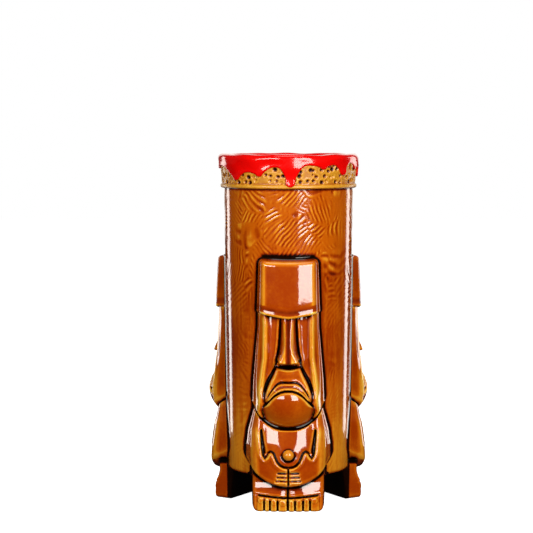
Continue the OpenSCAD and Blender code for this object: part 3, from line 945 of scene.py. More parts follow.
@dataclass
class FigureRing:
    """The three carved figures round the cup.

    Attributes:
        figure: The shape that all three share.
        glaze: Their finish.
        turns: Name of each figure and its place round the cup, in degrees.
        step: Spacing of the mesh's samples, in millimetres.
    """

    figure: CarvedFigure
    glaze: bpy.types.Material
    turns: tuple[tuple[str, float], ...] = (("front", 0.0), ("right", 120.0), ("left", -120.0))
    step: float = 0.36

    def limits(self, piece: Piece) -> tuple[list[float], list[float]]:
        """Corners of the space that a piece may fill, as x, q, z."""
        box = {
            Piece.BROW: self.figure.brow_box, Piece.FACE: self.figure.face_box,
            Piece.NOSE: self.figure.nose_box, Piece.CHIN: self.figure.chin_box,
            Piece.TORSO: self.figure.torso_box, Piece.NAVEL: self.figure.navel_box,
            Piece.FEET: self.figure.feet_box,
        }[piece]
        reach = 3.0
        low = [box.low[0] - reach, -box.high[1] - reach, box.low[2] - reach]
        high = [box.high[0] + reach, -box.low[1] + reach, box.high[2] + reach]
        if piece is Piece.CHIN:
            low[0], high[0], low[1] = -20.0, 20.0, 22.0
        return low, high

    def build(self) -> list[bpy.types.Object]:
        """Carve every piece once and set it at each place round the cup."""
        made = []
        for piece in Piece:
            shape = self.figure.bedded(piece)
            low, high = self.limits(piece)
            points, faces = polygonise(shape, low, high, self.step)
            points, normals = settle(shape, points)
            # Darker in hollows as pooled glaze and painted shade, paler on edges as thin glaze.
            pool = pooling_and_shade(self.figure.whole, points, normals, (0.7, 1.5, 3.2))
            pool = np.where(pool > 0, pool * 1.3, 0.52 * (np.exp(np.minimum(pool, 0.0) / 0.4) - 1.0))
            pool = pool - self.figure.rubbed(piece, *points.T)
            # More pooled glaze and painted shade in the piece's deep corners, under the nose, chin and belly,
            # and on the feet's back faces.
            run = self.figure.gathered_and_shade(piece, *points.T)
            pool = np.where(run > 0.05, np.maximum(pool, 0.5 * run), pool)
            for side, turn in self.turns:
                a = math.radians(turn)
                x, y = points[:, 0], -points[:, 1]
                placed = np.stack([x * math.cos(a) - y * math.sin(a), x * math.sin(a) + y * math.cos(a),
                                   points[:, 2]], axis=1) * MM
                obj = make_object(f"{side}_{piece.value}_carved", placed, faces, pool)
                fix_winding(obj)
                obj.data.materials.append(self.glaze)
                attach(obj, "root")
                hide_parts(f"{side}_{piece.value}")
                made.append(obj)
            LOG.info("%s: %d faces, pool %.2f to %.2f", piece.value, len(faces), pool.min(), pool.max())
        return made


def fix_winding(obj: bpy.types.Object) -> None:
    """Turn a closed mesh right side out if its volume comes out negative."""
    mesh = bmesh.new()
    mesh.from_mesh(obj.data)
    if mesh.calc_volume(signed=True) < 0:
        bmesh.ops.reverse_faces(mesh, faces=mesh.faces)
        mesh.to_mesh(obj.data)
    mesh.free()


def lathe(profile: Array, around: int) -> tuple[Array, list[list[int]]]:
    """Turn a closed profile round the axis.

    Args:
        profile: (radius, height) rows in millimetres, anticlockwise seen with the axis on the left.
        around: Number of steps round.

    Returns:
        Points in millimetres and faces.
    """
    angles = np.arange(around) * (2 * math.pi / around) - math.pi / 2
    r, z = profile[:, 0], profile[:, 1]
    points = np.stack([
        np.outer(np.cos(angles), r), np.outer(np.sin(angles), r), np.broadcast_to(z, (around, len(z))),
    ], axis=2).reshape(-1, 3)
    count = len(profile)
    faces = []
    for i in range(around):
        here, there = i * count, ((i + 1) % around) * count
        for j in range(count):
            k = (j + 1) % count
            faces.append([here + j, there + j, there + k, here + k])
    return points, faces


def spaced(points: Sequence[Point2], step: float) -> list[Point2]:
    """Points along a line at about the given spacing, without its last one."""
    out = []
    for (x0, z0), (x1, z1) in zip(points[:-1], points[1:]):
        count = max(1, round(math.hypot(x1 - x0, z1 - z0) / step))
        out += [(x0 + (x1 - x0) * i / count, z0 + (z1 - z0) * i / count) for i in range(count)]
    return out


def arc(cx: float, cz: float, radius: float, start: float, end: float, count: int) -> list[Point2]:
    """Points of an arc between two angles in degrees."""
    angles = [math.radians(start + (end - start) * i / count) for i in range(count + 1)]
    return [(cx + radius * math.cos(a), cz + radius * math.sin(a)) for a in angles]


@dataclass
class CupWall:
    """The cup's wall, with hand-cut strokes over its outer face.

    Attributes:
        cup: The cup's sizes.
        glaze: Its finish.
        figure: The carved figure, round whose foot the glaze pools and painted shade is laid.
        around: Number of mesh steps round.
        rise: Height of one mesh step outside, in millimetres.
        corner: Rounding of the outer edge underneath.
        cove: Rounding between the wall and the floor inside.
    """

    cup: CupSizes
    glaze: bpy.types.Material
    figure: CarvedFigure
    around: int = 340
    rise: float = 0.58
    corner: float = 2.4
    cove: float = 5.0

    def profile(self) -> Array:
        """Outline of the wall's section."""
        cup = self.cup
        low, top = cup.underside, cup.lip - 0.3
        outer = [(cup.outer(low + self.corner), low + self.corner), (cup.outer(top), top)]
        inner_floor = cup.outer(cup.floor_top) - cup.wall
        inner_top = cup.outer(top) - cup.wall
        line: list[Point2] = []
        line += spaced([(inner_floor - 1.0, low), (cup.base_radius - self.corner, low)], 1.5)
        line += arc(cup.base_radius - self.corner, low + self.corner, self.corner, -90, 0, 6)[:-1]
        line += spaced(outer, self.rise)
        line += spaced([(cup.outer(top), top), (inner_top, top)], 1.4)
        line += spaced([(inner_top, top), (inner_floor, cup.floor_top + self.cove)], 4.0)
        line += arc(inner_floor - self.cove, cup.floor_top + self.cove, self.cove, 0, -90, 6)
        line += [(inner_floor - self.cove, cup.floor_top - 1.0), (inner_floor - 1.0, cup.floor_top - 1.0)]
        return np.array(line, dtype=np.float64)

    def pool(self, points: Array) -> tuple[Array, Array]:
        """Glaze pooling and painted shade on the wall, in the corners with the figures and under the band,
        with painted light that pales the lower wall.

        Args:
            points: Places on the wall in millimetres.

        Returns:
            The pooling with its painted shade and light, and how clear of the figures each place is, from 0 to
            1.
        """
        clear = np.ones(len(points), dtype=np.float32)
        total = np.zeros(len(points), dtype=np.float32)
        radius = np.hypot(points[:, 0], points[:, 1])
        outside = radius > self.cup.outer(points[:, 2]) - 1.0
        for turn in (0.0, 120.0, -120.0):
            a = math.radians(-turn)
            x = points[:, 0] * math.cos(a) - points[:, 1] * math.sin(a)
            q = -(points[:, 0] * math.sin(a) + points[:, 1] * math.cos(a))
            near = outside & (q > 12.0) & (points[:, 2] < 136.0)
            gap = np.full(len(points), 9.0, dtype=np.float32)
            clay = self.nearest(x[near], q[near], points[near, 2])
            gap[near] = clay
            clear = np.minimum(clear, smooth_step(1.2, 3.4, gap))
            # Painted shade and pooled glaze where the wall meets a figure.
            total = np.maximum(total, 0.34 * smooth_step(1.5, 0.9, gap))
            # Painted shade and pooled glaze in the strip over each brow.
            shelf = bell(points[:, 2] - self.figure.brow_box.high[2] - 1.0, 1.3)
            shelf = shelf * smooth_step(15.0, 12.8, np.abs(x)) * (q > 12.0) * outside
            total = np.maximum(total, 0.5 * shelf)
        # Painted shade under the band's overhang, partly pooled glaze.
        under = self.cup.band_low - points[:, 2]
        total = np.maximum(total, np.where(outside, 0.34 * smooth_step(1.3, 0.2, under), 0.0))
        # Painted light: the wall is paler low down, where the lamps leave it dim, and a little paler near the
        # top.
        light = 0.1 * smooth_step(90.0, 170.0, points[:, 2]) + 0.2 * smooth_step(85.0, 30.0, points[:, 2])
        total = total - np.where(outside, light, 0.0)
        # Painted shade on the underside and the lowest edge of the wall.
        total = total + 0.35 * smooth_step(self.cup.underside + 1.6, self.cup.underside + 0.4, points[:, 2])
        return total, clear

    def nearest(self, x: Array, q: Array, z: Array) -> Array:
        """Distance to the nearest carved piece."""
        best = np.full(len(x), 9.0, dtype=np.float32)
        for piece in Piece:
            best = np.minimum(best, self.figure.raw(piece)(x, q, z))
        return best

    def build(self) -> bpy.types.Object:
        """Turn the wall, cut the strokes and dress it."""
        points, faces = lathe(self.profile(), self.around)
        pool, clear = self.pool(points)
        radius = np.hypot(points[:, 0], points[:, 1])
        turn = np.degrees(np.arctan2(points[:, 0], -points[:, 1]))
        beside = np.abs((turn + 60.0) % 120.0 - 60.0)
        face = np.abs(radius - self.cup.outer(points[:, 2])) < 0.05
        fade = face * smooth_step(self.cup.underside + 1.5, self.cup.underside + 5.0, points[:, 2])
        fade = fade * smooth_step(self.cup.band_low - 0.3, self.cup.band_low - 1.6, points[:, 2])
        fade = fade * (0.3 + 0.7 * smooth_step(92.0, 125.0, points[:, 2])) * clear
        fade = fade * (1.0 - 0.7 * smooth_step(44.0, 56.0, beside))
        obj = make_object("cup_wall_carved", points * MM, faces, pool)
        layer = obj.data.attributes.new("cut", "FLOAT", "POINT")
        layer.data.foreach_set("value", fade.astype(np.float32))
        fix_winding(obj)
        carved = StrokeCarving().apply(obj, self.glaze)
        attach(carved, "root")
        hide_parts("cup_wall")
        LOG.info("cup wall: %d faces", len(carved.data.polygons))
        return carved


def run_tree(obj: bpy.types.Object, tree: bpy.types.NodeTree, values: dict[str, object]) -> bpy.types.Object:
    """Run a geometry tree on an object and keep the result as a plain mesh.

    Args:
        obj: The object to change.
        tree: The geometry tree.
        values: Input name to value.

    Returns:
        The same object, with the tree's result as its mesh and no modifier.
    """
    modifier = obj.modifiers.new(tree.name, "NODES")
    modifier.node_group = tree
    sockets = {item.name: item.identifier for item in tree.interface.items_tree if item.in_out == "INPUT"}
    for name, value in values.items():
        modifier[sockets[name]] = value
    bpy.context.view_layer.update()
    evaluated = obj.evaluated_get(bpy.context.evaluated_depsgraph_get())
    mesh = bpy.data.meshes.new_from_object(evaluated)
    obj.modifiers.remove(modifier)
    old = obj.data
    obj.data = mesh
    bpy.data.meshes.remove(old)
    mesh.name = obj.name
    return obj


def new_tree(name: str, inputs: Sequence[tuple[str, str]]) -> tuple[bpy.types.NodeTree, Nodes, bpy.types.Node]:
    """Start a geometry tree with a mesh going in and out.

    Args:
        name: Name of the tree.
        inputs: (name, socket type) of each further input.

    Returns:
        The tree, its node helper and its input node.
    """
    tree = bpy.data.node_groups.new(name, "GeometryNodeTree")
    tree.interface.new_socket("Geometry", in_out="INPUT", socket_type="NodeSocketGeometry")
    for label, kind in inputs:
        tree.interface.new_socket(label, in_out="INPUT", socket_type=kind)
    tree.interface.new_socket("Geometry", in_out="OUTPUT", socket_type="NodeSocketGeometry")
    nodes = Nodes(tree)
    return tree, nodes, nodes.add("NodeGroupInput")


def end_tree(nodes: Nodes, geometry: bpy.types.NodeSocket, material: bpy.types.NodeSocket) -> None:
    """Finish a geometry tree with real meshes and the material set."""
    real = nodes.add("GeometryNodeRealizeInstances")
    dress = nodes.add("GeometryNodeSetMaterial")
    out = nodes.add("NodeGroupOutput")
    nodes.join(geometry, real.inputs[0])
    nodes.join(real.outputs[0], dress.inputs["Geometry"])
    nodes.join(material, dress.inputs["Material"])
    nodes.join(dress.outputs[0], out.inputs[0])


@dataclass(frozen=True)
class StrokeCarving:
    """Shallow gouge strokes in patches of bent, side-by-side cuts.

    Attributes:
        patch: Size of one patch of strokes, in millimetres.
        pitch: Distance from stroke to stroke.
        depth: Depth of a stroke.
        seed: Fixed start of the patches' random layout.
    """

    patch: float = 13.5
    pitch: float = 1.9
    depth: float = 0.09
    seed: float = 3.0

    def tree(self) -> bpy.types.NodeTree:
        """Build the geometry tree."""
        tree, nodes, source = new_tree("gouge_strokes", [
            ("Patch size", "NodeSocketFloat"), ("Pitch", "NodeSocketFloat"), ("Depth", "NodeSocketFloat"),
            ("Seed", "NodeSocketFloat"), ("Material", "NodeSocketMaterial"),
        ])
        place = nodes.add("GeometryNodeInputPosition").outputs[0]
        wobble = nodes.add("ShaderNodeTexNoise")
        nodes.join(place, wobble.inputs["Vector"])
        wobble.inputs["Scale"].default_value = 1.0 / (16.0 * MM)
        wobble.inputs["Detail"].default_value = 2.0
        shift = nodes.vector("SUBTRACT", wobble.outputs["Color"], (0.5, 0.5, 0.5)).outputs[0]
        shift = nodes.vector("SCALE", shift, 5.0 * MM).outputs[0]
        bent = nodes.vector("ADD", place, shift).outputs[0]

        cells = nodes.add("ShaderNodeTexVoronoi", feature="F1", voronoi_dimensions="4D")
        nodes.join(bent, cells.inputs["Vector"])
        nodes.join(source.outputs["Seed"], cells.inputs["W"])
        nodes.join(nodes.math("DIVIDE", 1.0, source.outputs["Patch size"]), cells.inputs["Scale"])
        edges = nodes.add("ShaderNodeTexVoronoi", feature="DISTANCE_TO_EDGE", voronoi_dimensions="4D")
        nodes.join(bent, edges.inputs["Vector"])
        nodes.join(source.outputs["Seed"], edges.inputs["W"])
        nodes.join(nodes.math("DIVIDE", 1.0, source.outputs["Patch size"]), edges.inputs["Scale"])

        throw = nodes.vector("SUBTRACT", cells.outputs["Color"], (0.5, 0.5, 0.5)).outputs[0]
        throw = nodes.vector("SCALE", throw, 85.0 * MM).outputs[0]
        centre = nodes.vector("ADD", cells.outputs["Position"], throw).outputs[0]
        reach = nodes.vector("DISTANCE", bent, centre).outputs["Value"]
        turn = nodes.math("MULTIPLY", nodes.math("DIVIDE", reach, source.outputs["Pitch"]), 2 * math.pi)
        wave = nodes.math("SINE", turn)

        strength = nodes.add("ShaderNodeTexNoise")
        nodes.join(place, strength.inputs["Vector"])
        strength.inputs["Scale"].default_value = 1.0 / (9.0 * MM)
        strength.inputs["Detail"].default_value = 1.0
        firm = nodes.remap(strength.outputs["Fac"], 0.3, 0.62, 0.25, 1.0)
        cut = nodes.add("GeometryNodeInputNamedAttribute", data_type="FLOAT")
        cut.inputs["Name"].default_value = "cut"
        border = nodes.remap(edges.outputs["Distance"], 0.0, 0.06)
        amount = nodes.math("MULTIPLY", nodes.math("MULTIPLY", firm, border), cut.outputs["Attribute"])
        height = nodes.math("MULTIPLY", wave, amount)

        flat = nodes.vector("MULTIPLY", place, (1.0, 1.0, 0.0)).outputs[0]
        outward = nodes.vector("NORMALIZE", flat).outputs[0]
        lift = nodes.math("MULTIPLY", height, source.outputs["Depth"])
        move = nodes.vector("SCALE", outward, lift).outputs[0]
        shaped = nodes.add("GeometryNodeSetPosition")
        nodes.join(source.outputs["Geometry"], shaped.inputs["Geometry"])
        nodes.join(move, shaped.inputs["Offset"])

        pool = nodes.add("GeometryNodeInputNamedAttribute", data_type="FLOAT")
        pool.inputs["Name"].default_value = "pool"
        deeper = nodes.math("SUBTRACT", pool.outputs["Attribute"], nodes.math("MULTIPLY", height, 0.2))
        store = nodes.add("GeometryNodeStoreNamedAttribute", data_type="FLOAT", domain="POINT")
        store.inputs["Name"].default_value = "pool"
        nodes.join(shaped.outputs[0], store.inputs["Geometry"])
        nodes.join(deeper, store.inputs["Value"])
        end_tree(nodes, store.outputs[0], source.outputs["Material"])
        return tree

    def apply(self, obj: bpy.types.Object, material: bpy.types.Material) -> bpy.types.Object:
        """Carve an object."""
        return run_tree(obj, self.tree(), {
            "Patch size": self.patch * MM, "Pitch": self.pitch * MM, "Depth": self.depth * MM,
            "Seed": self.seed, "Material": material,
        })


@dataclass
class PumiceBand:
    """The pitted band under the lip, with a smooth bead along its lower edge.

    Attributes:
        cup: The cup's sizes.
        glaze: Its finish.
        around: Number of mesh steps round.
        rise: Height of one mesh step.
        bead: Radius of the bead.
        pit_low: Radius of the smallest pits.
        pit_high: Radius of the largest pits.
        depth: Depth of the pits.
        columns: Number of pits in a row.
        rows: Height of each row of pits above the band's lower edge.
    """

    cup: CupSizes
    glaze: bpy.types.Material
    around: int = 600
    rise: float = 0.4
    bead: float = 1.15
    pit_low: float = 0.85
    pit_high: float = 1.25
    depth: float = 0.65
    columns: int = 64
    rows: tuple[float, ...] = (4.0, 6.8, 9.6, 12.4)

    def profile(self) -> Array:
        """Outline of the band's section."""
        cup = self.cup
        low, top = cup.band_low, cup.lip
        line: list[Point2] = []
        line += [(cup.outer(low) - 1.0, low + 0.2), (cup.outer(low) + 0.2, low + 0.1)]
        line += arc(cup.band(low) + 0.25 - self.bead + 0.55, low + self.bead, self.bead, -80, 62, 9)
        line += spaced([(cup.band(low + 2.5) - 0.25, low + 2.5), (cup.band(top - 1.8), top - 1.8)], self.rise)
        line += arc(cup.band(top - 1.8) - 1.8, top - 1.8, 1.8, 0, 90, 6)
        line += [(cup.outer(top) - cup.wall * 0.6, top), (cup.outer(top) - cup.wall * 0.6, top - 2.0),
                 (cup.outer(top) - 1.0, top - 2.4)]
        return np.array(line, dtype=np.float64)

    def tree(self) -> bpy.types.NodeTree:
        """Build the geometry tree that sinks the pits, roughens the face, darkens the pits with painted shade
        and pales their rims.
        """
        tree, nodes, source = new_tree("pitted_face", [
            ("Pit depth", "NodeSocketFloat"), ("Smallest pit", "NodeSocketFloat"),
            ("Largest pit", "NodeSocketFloat"), ("Pits", "NodeSocketObject"),
            ("Material", "NodeSocketMaterial"),
        ])
        place = nodes.add("GeometryNodeInputPosition").outputs[0]
        pits = nodes.add("GeometryNodeObjectInfo", transform_space="ORIGINAL")
        nodes.join(source.outputs["Pits"], pits.inputs["Object"])
        nearest = nodes.add("GeometryNodeSampleNearest", domain="POINT")
        nodes.join(pits.outputs["Geometry"], nearest.inputs["Geometry"])
        nodes.join(place, nearest.inputs["Sample Position"])
        spot = nodes.add("GeometryNodeSampleIndex", data_type="FLOAT_VECTOR", domain="POINT")
        nodes.join(pits.outputs["Geometry"], spot.inputs["Geometry"])
        nodes.join(place, spot.inputs["Value"])
        nodes.join(nearest.outputs["Index"], spot.inputs["Index"])
        gap = nodes.vector("DISTANCE", place, spot.outputs["Value"]).outputs["Value"]
        noise = nodes.add("ShaderNodeTexNoise")
        nodes.join(place, noise.inputs["Vector"])
        noise.inputs["Scale"].default_value = 1.0 / (2.2 * MM)
        gap = nodes.math("MULTIPLY_ADD", noise.outputs["Fac"], 0.5 * MM, nodes.math("ADD", gap, -0.25 * MM))

        size = nodes.add("FunctionNodeRandomValue", data_type="FLOAT")
        nodes.join(source.outputs["Smallest pit"], size.inputs[2])
        nodes.join(source.outputs["Largest pit"], size.inputs[3])
        nodes.join(nearest.outputs["Index"], size.inputs["ID"])
        size.inputs["Seed"].default_value = 5
        ratio = nodes.math("DIVIDE", gap, size.outputs[1])
        hollow = nodes.remap(ratio, 1.12, 0.66)
        rim = nodes.math("MULTIPLY", nodes.remap(ratio, 2.0, 1.2), nodes.remap(ratio, 0.9, 1.25))

        cut = nodes.add("GeometryNodeInputNamedAttribute", data_type="FLOAT")
        cut.inputs["Name"].default_value = "cut"
        rough = nodes.add("ShaderNodeTexNoise")
        nodes.join(place, rough.inputs["Vector"])
        rough.inputs["Scale"].default_value = 1.0 / (3.4 * MM)
        rough.inputs["Detail"].default_value = 2.0
        uneven = nodes.math("MULTIPLY_ADD", rough.outputs["Fac"], 0.6, -0.3)
        sunk = nodes.math("MULTIPLY", hollow, -1.0)
        height = nodes.math("ADD", nodes.math("MULTIPLY_ADD", rim, 0.16, sunk), uneven)
        height = nodes.math("MULTIPLY", height, cut.outputs["Attribute"])
        flat = nodes.vector("MULTIPLY", place, (1.0, 1.0, 0.0)).outputs[0]
        outward = nodes.vector("NORMALIZE", flat).outputs[0]
        lift = nodes.math("MULTIPLY", height, source.outputs["Pit depth"])
        move = nodes.vector("SCALE", outward, lift).outputs[0]
        shaped = nodes.add("GeometryNodeSetPosition")
        nodes.join(source.outputs["Geometry"], shaped.inputs["Geometry"])
        nodes.join(move, shaped.inputs["Offset"])

        pool = nodes.add("GeometryNodeInputNamedAttribute", data_type="FLOAT")
        pool.inputs["Name"].default_value = "pool"
        # Painted shade in the pits, partly glaze pooled there; rims and rough high spots paler.
        dark = nodes.math("MULTIPLY", hollow, cut.outputs["Attribute"])
        dark = nodes.math("MULTIPLY", dark, 0.9)
        pale = nodes.math("MULTIPLY", nodes.math("ADD", rim, uneven), 0.16)
        total = nodes.math("ADD", pool.outputs["Attribute"], nodes.math("SUBTRACT", dark, pale))
        store = nodes.add("GeometryNodeStoreNamedAttribute", data_type="FLOAT", domain="POINT")
        store.inputs["Name"].default_value = "pool"
        nodes.join(shaped.outputs[0], store.inputs["Geometry"])
        nodes.join(total, store.inputs["Value"])
        end_tree(nodes, store.outputs[0], source.outputs["Material"])
        return tree

    def pit_points(self) -> bpy.types.Object:
        """Scattered places of the pits, as a mesh of loose points."""
        draw = np.random.default_rng(11)
        spots = []
        for row, rise in enumerate(self.rows):
            for i in range(self.columns):
                angle = (i + 0.5 * (row % 2) + draw.uniform(-0.32, 0.32)) * 2 * math.pi / self.columns
                height = self.cup.band_low + rise + draw.uniform(-0.8, 0.8)
                radius = self.cup.band(height)
                if draw.uniform() < 0.9:
                    spots.append((radius * math.cos(angle) * MM, radius * math.sin(angle) * MM, height * MM))
        mesh = bpy.data.meshes.new("pit_places")
        mesh.from_pydata(spots, [], [])
        return link(bpy.data.objects.new("pit_places", mesh))

    def build(self) -> bpy.types.Object:
        """Turn the band, sink its pits and dress it."""
        points, faces = lathe(self.profile(), self.around)
        z = points[:, 2]
        rise = z - self.cup.band_low
        # Painted shade and pooled glaze in the crease where the bead meets the wall and in the crease just
        # above the bead; paler on the bead's crown.
        pool = 0.3 * smooth_step(0.9, 0.0, rise) - 0.14 * bell(rise - 1.4, 0.8) + 0.16 * bell(rise - 2.6, 0.5)
        face = np.hypot(points[:, 0], points[:, 1]) > self.cup.outer(z) + 0.3
        cut = face * smooth_step(2.2, 3.2, rise)
        obj = make_object("pumice_band_pitted", points * MM, faces, pool)
        layer = obj.data.attributes.new("cut", "FLOAT", "POINT")
        layer.data.foreach_set("value", cut.astype(np.float32))
        fix_winding(obj)
        pits = self.pit_points()
        run_tree(obj, self.tree(), {
            "Pit depth": self.depth * MM, "Smallest pit": self.pit_low * MM,
            "Largest pit": self.pit_high * MM, "Pits": pits, "Material": self.glaze,
        })
        bpy.data.objects.remove(pits)
        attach(obj, "root")
        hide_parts("pumice_band")
        LOG.info("pumice band: %d faces", len(obj.data.polygons))
        return obj


@dataclass
class RedGlaze:
    """The thick red glaze poured over the lip.

    Attributes:
        cup: The cup's sizes.
        glaze: Its finish.
        thick: Thickness of the coat.
        step: Spacing of the mesh's samples, in millimetres.
        lobes: (degrees round from the front, height) of each arch and tip of the lower edge, by turns.
        tip_radius: Radius of the bead of glaze at each tip.
    """

    cup: CupSizes
    glaze: bpy.types.Material
    thick: float = 1.0
    step: float = 0.42
    lobes: tuple[tuple[float, float], ...] = (
        (-92.0, 179.4), (-84.0, 177.2), (-76.0, 178.6), (-49.0, 171.4), (-35.0, 175.6), (-25.0, 173.4),
        (-11.0, 178.2), (1.5, 168.0), (17.5, 179.2), (30.0, 177.0), (39.0, 179.2), (51.5, 173.9),
        (61.0, 180.2), (74.0, 176.6), (81.0, 178.6), (89.0, 172.8), (101.0, 179.0), (112.0, 175.8),
        (123.0, 178.4), (135.0, 170.5), (149.0, 179.2), (160.0, 174.8), (171.0, 178.6), (184.0, 171.8),
        (198.0, 179.4), (208.0, 176.2), (219.0, 178.8), (232.0, 170.8), (246.0, 179.0), (256.0, 174.6),
    )
    tip_radius: float = 2.3

    def hem(self, angle: Array) -> Array:
        """Height of the coat's lower edge: tongues that hang from wide arches.

        Args:
            angle: Place round the cup from the front, in radians.

        Returns:
            Heights in millimetres.
        """
        degrees = (np.degrees(angle) - self.lobes[0][0]) % 360.0 + self.lobes[0][0]
        ring = list(self.lobes) + [(self.lobes[0][0] + 360.0, self.lobes[0][1])]
        height = np.full(degrees.shape, self.lobes[0][1], dtype=np.float32)
        for (a0, z0), (a1, z1) in zip(ring[:-1], ring[1:]):
            t = np.clip((degrees - a0) / (a1 - a0), 0.0, 1.0)
            t = t if z1 < z0 else 1.0 - t
            high = max(z0, z1)
            low = min(z0, z1) + 0.35 * self.tip_radius
            power = 1.0 + 0.6 * min((high - low) / 8.0, 1.0)
            curve = high - (high - low) * smooth_step(0.0, 1.0, t ** power)
            height = np.where((degrees >= a0) & (degrees <= a1), curve, height)
        return height

    def field(self, x: Array, y: Array, z: Array) -> Array:
        """Distance to the coat's surface, negative inside it."""
        cup = self.cup
        radius = np.sqrt(x * x + y * y)
        angle = np.arctan2(x, -y)
        mean = cup.band_high_radius
        hem = self.hem(angle)
        turn = 0.012
        slope = (self.hem(angle + turn) - self.hem(angle - turn)) / (2 * turn * mean)
        outline = (hem - z) / np.sqrt(1.0 + slope * slope)
        heights = [height for _, height in self.lobes]
        for i, (degrees, tip) in enumerate(self.lobes):
            if tip > heights[i - 1]:
                continue
            off = (angle - math.radians(degrees) + math.pi) % (2 * math.pi) - math.pi
            depth = heights[i - 1] - tip
            radius_here = self.tip_radius * min(0.6 + 0.07 * depth, 1.1)
            ball = np.sqrt((off * mean) ** 2 + (z - tip - radius_here) ** 2) - radius_here
            outline = smooth_min(outline, ball, 1.2)
        inner_hem = cup.top - 8.0 + 1.6 * np.sin(4 * angle + 1.0) + 1.0 * np.sin(7 * angle)
        outline_in = inner_hem - z
        inside = radius < cup.outer(z) - 0.5 * cup.wall
        edge = np.where(inside, outline_in, outline)

        outer_face = radius - cup.band(z)
        inner_face = cup.outer(z) - cup.wall - radius
        body = round_max(round_max(outer_face, inner_face, 0.4), z - cup.lip, 1.9)
        swell = 0.16 * np.sin(8 * angle + 1.3) + 0.12 * np.sin(13 * angle + 0.5 * z)
        swell = swell + 0.12 * np.sin(5 * angle - 0.7 * z)
        full = self.thick * (0.78 + swell + 0.36 * smooth_step(6.0, 0.0, z - (hem - 3.0)))
        coat = body - full
        shell = np.maximum(coat, -(body + 0.6))
        return round_max(shell, edge, 0.85)

    def build(self) -> bpy.types.Object:
        """Pour the coat and dress it."""
        reach = self.cup.band_high_radius + 2.0
        low = (-reach, -reach, self.cup.band_low - 1.0)
        high = (reach, reach, self.cup.top + 1.0)
        points, faces = polygonise(self.field, low, high, self.step)
        points, normals = settle(self.field, points)
        # Darker in the coat's hollows, as pooled glaze and painted shade, and paler on its edges.
        pool = pooling_and_shade(self.field, points, normals, (0.6, 1.2))
        obj = make_object("red_glaze_drips", points * MM, faces, pool)
        fix_winding(obj)
        obj.data.materials.append(self.glaze)
        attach(obj, "root")
        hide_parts("red_glaze")
        LOG.info("red glaze: %d faces", len(faces))
        return obj


# ---------------------------------------------------------------- studio


@dataclass(frozen=True)
class SoftBox:
    """A soft area light that faces the cup.

    Attributes:
        name: Its name.
        place: Where it stands, in metres.
        width: Its width in metres.
        height: Its height in metres.
        power: Its power in watts.
        aim: Height on the cup's axis that it faces.
        mirrored: Whether the glaze shows its reflection.
    """

    name: str
    place: tuple[float, float, float]
    width: float
    height: float
    power: float
    aim: float
    mirrored: bool = True

    def build(self) -> bpy.types.Object:
        """Make the light and aim it at the cup's axis."""
        data = bpy.data.lights.new(self.name, "AREA")
        data.shape = "RECTANGLE"
        data.size = self.width
        data.size_y = self.height
        data.energy = self.power
        obj = link(bpy.data.objects.new(self.name, data))
        obj.location = self.place
        toward = Vector((0.0, 0.0, self.aim)) - Vector(self.place)
        obj.rotation_euler = toward.to_track_quat("-Z", "Y").to_euler()
        data.color = (1.0, 0.97, 0.91)
        obj.visible_camera = False
        obj.visible_glossy = self.mirrored
        return obj


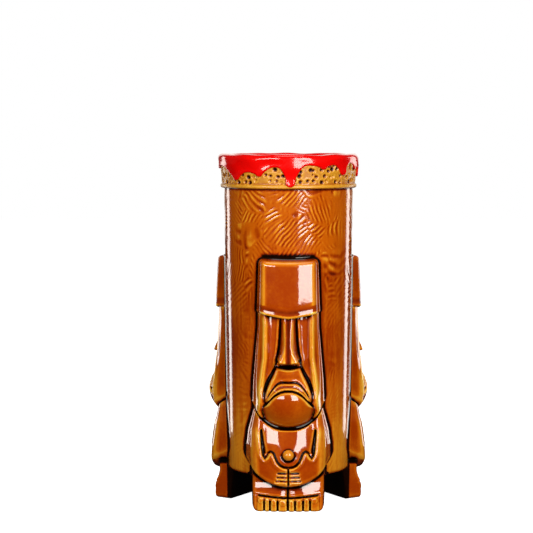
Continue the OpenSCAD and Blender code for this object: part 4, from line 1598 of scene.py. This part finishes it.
@dataclass
class Studio:
    """Floor, soft light and camera.

    Attributes:
        distance: Distance from the mug's axis to the camera, in metres.
        eye_height: Height of the camera.
        lens: Focal length of the lens, in millimetres.
        pitch: How far the camera looks down, in degrees.
        yaw: How far the camera is turned aside, in degrees.
        room_light: Strength of the even light of the room.
        floor_half: Half the width of the floor.
        floor_glow: How pale the floor looks to the camera.
        floor_bounce: Share of light that the floor sends back on to the mug.
    """

    distance: float = 1.009
    eye_height: float = 0.2
    lens: float = 128.3
    pitch: float = 4.26
    yaw: float = 0.663
    room_light: float = 0.04
    floor_half: float = 3.0
    floor_glow: float = 0.97
    floor_bounce: float = 0.015

    def floor(self) -> bpy.types.Object:
        """A wide pale floor."""
        half = self.floor_half
        corners = np.array([(-half, -half, 0), (half, -half, 0), (half, half, 0), (-half, half, 0)])
        obj = make_object("studio_floor", corners, [[0, 1, 2, 3]])
        material = bpy.data.materials.new("studio_white")
        material.use_nodes = True
        tree = material.node_tree
        tree.nodes.clear()
        nodes = Nodes(tree)
        pale = nodes.add("ShaderNodeBsdfPrincipled")
        pale.inputs["Base Color"].default_value = (0.86, 0.86, 0.86, 1.0)
        pale.inputs["Roughness"].default_value = 0.9
        pale.inputs["Specular IOR Level"].default_value = 0.0
        pale.inputs["Emission Color"].default_value = (1.0, 1.0, 1.0, 1.0)
        pale.inputs["Emission Strength"].default_value = self.floor_glow
        dim = nodes.add("ShaderNodeBsdfDiffuse")
        dim.inputs["Color"].default_value = (self.floor_bounce,) * 3 + (1.0,)
        path = nodes.add("ShaderNodeLightPath")
        mix = nodes.add("ShaderNodeMixShader")
        nodes.join(path.outputs["Is Camera Ray"], mix.inputs["Fac"])
        nodes.join(dim.outputs[0], mix.inputs[1])
        nodes.join(pale.outputs[0], mix.inputs[2])
        nodes.join(mix.outputs[0], nodes.add("ShaderNodeOutputMaterial").inputs["Surface"])
        obj.data.materials.append(material)
        return obj

    def world(self) -> None:
        """White surroundings behind the cup, which light it only a little."""
        world = bpy.data.worlds.new("studio_world")
        world.use_nodes = True
        nodes = Nodes(world.node_tree)
        seen = world.node_tree.nodes["Background"]
        seen.inputs["Color"].default_value = (1.0, 1.0, 1.0, 1.0)
        seen.inputs["Strength"].default_value = 1.0
        room = nodes.add("ShaderNodeBackground")
        room.inputs["Color"].default_value = (1.0, 0.98, 0.96, 1.0)
        room.inputs["Strength"].default_value = self.room_light
        mix = nodes.add("ShaderNodeMixShader")
        path = nodes.add("ShaderNodeLightPath")
        nodes.join(path.outputs["Is Camera Ray"], mix.inputs["Fac"])
        nodes.join(room.outputs[0], mix.inputs[1])
        nodes.join(seen.outputs[0], mix.inputs[2])
        nodes.join(mix.outputs[0], world.node_tree.nodes["World Output"].inputs["Surface"])
        bpy.context.scene.world = world
        view = bpy.context.scene.view_settings
        view.view_transform = "Standard"
        view.look = "None"
        view.exposure = 0.0
        view.gamma = 1.0

    def camera(self) -> bpy.types.Object:
        """The camera, a little above the cup's lip."""
        data = bpy.data.cameras.new("view")
        data.lens = self.lens
        data.sensor_width = 36.0
        data.clip_start = 0.01
        obj = link(bpy.data.objects.new("view", data))
        obj.location = (0.0, -self.distance, self.eye_height)
        obj.rotation_euler = (math.radians(90.0 - self.pitch), 0.0, math.radians(self.yaw))
        bpy.context.scene.camera = obj
        return obj

    def build(self) -> None:
        """Set the studio up."""
        self.world()
        self.floor()
        for box in (
            SoftBox("right_front_box", (0.5, -1.06, 0.57), 0.52, 0.9, 19.0, 0.57),
            SoftBox("left_front_box", (-0.6, -1.0, 0.42), 0.6, 0.36, 9.0, 0.42),
            SoftBox("left_rear_box", (-0.164, 0.139, 0.123), 0.044, 0.24, 0.12, 0.123),
            SoftBox("right_rear_box", (0.173, 0.131, 0.123), 0.049, 0.24, 0.133, 0.123),
            SoftBox("backdrop_box", (0.0, 1.3, 0.55), 1.1, 1.0, 4.0, 0.5),
            SoftBox("top_box", (0.0, -0.1, 1.4), 0.6, 0.6, 3.0, 0.1),
            SoftBox("fill_box", (0.0, -1.5, 0.25), 1.2, 0.9, 4.0, 0.08, False),
        ):
            box.build()
        self.camera()


def dress_floor_disc(glaze: bpy.types.Material) -> None:
    """Give the cup's floor, whose plain disc is kept, its glaze."""
    disc = bpy.data.objects["cup_floor"]
    disc.data.materials.clear()
    disc.data.materials.append(glaze)


def main() -> None:
    """Build the whole scene."""
    logging.basicConfig(level=logging.INFO, format="%(message)s")
    cup = CupSizes.from_frame()
    LOG.info("cup: %s", cup)
    amber, wall_amber, gold, red = (g.material() for g in (AMBER, WALL_AMBER, GOLD, RED))
    Studio().build()
    figure = CarvedFigure(cup)
    CupWall(cup, wall_amber, figure).build()
    dress_floor_disc(amber)
    PumiceBand(cup, gold).build()
    RedGlaze(cup, red).build()
    FigureRing(figure, amber).build()


if __name__ == "__main__":
    main()
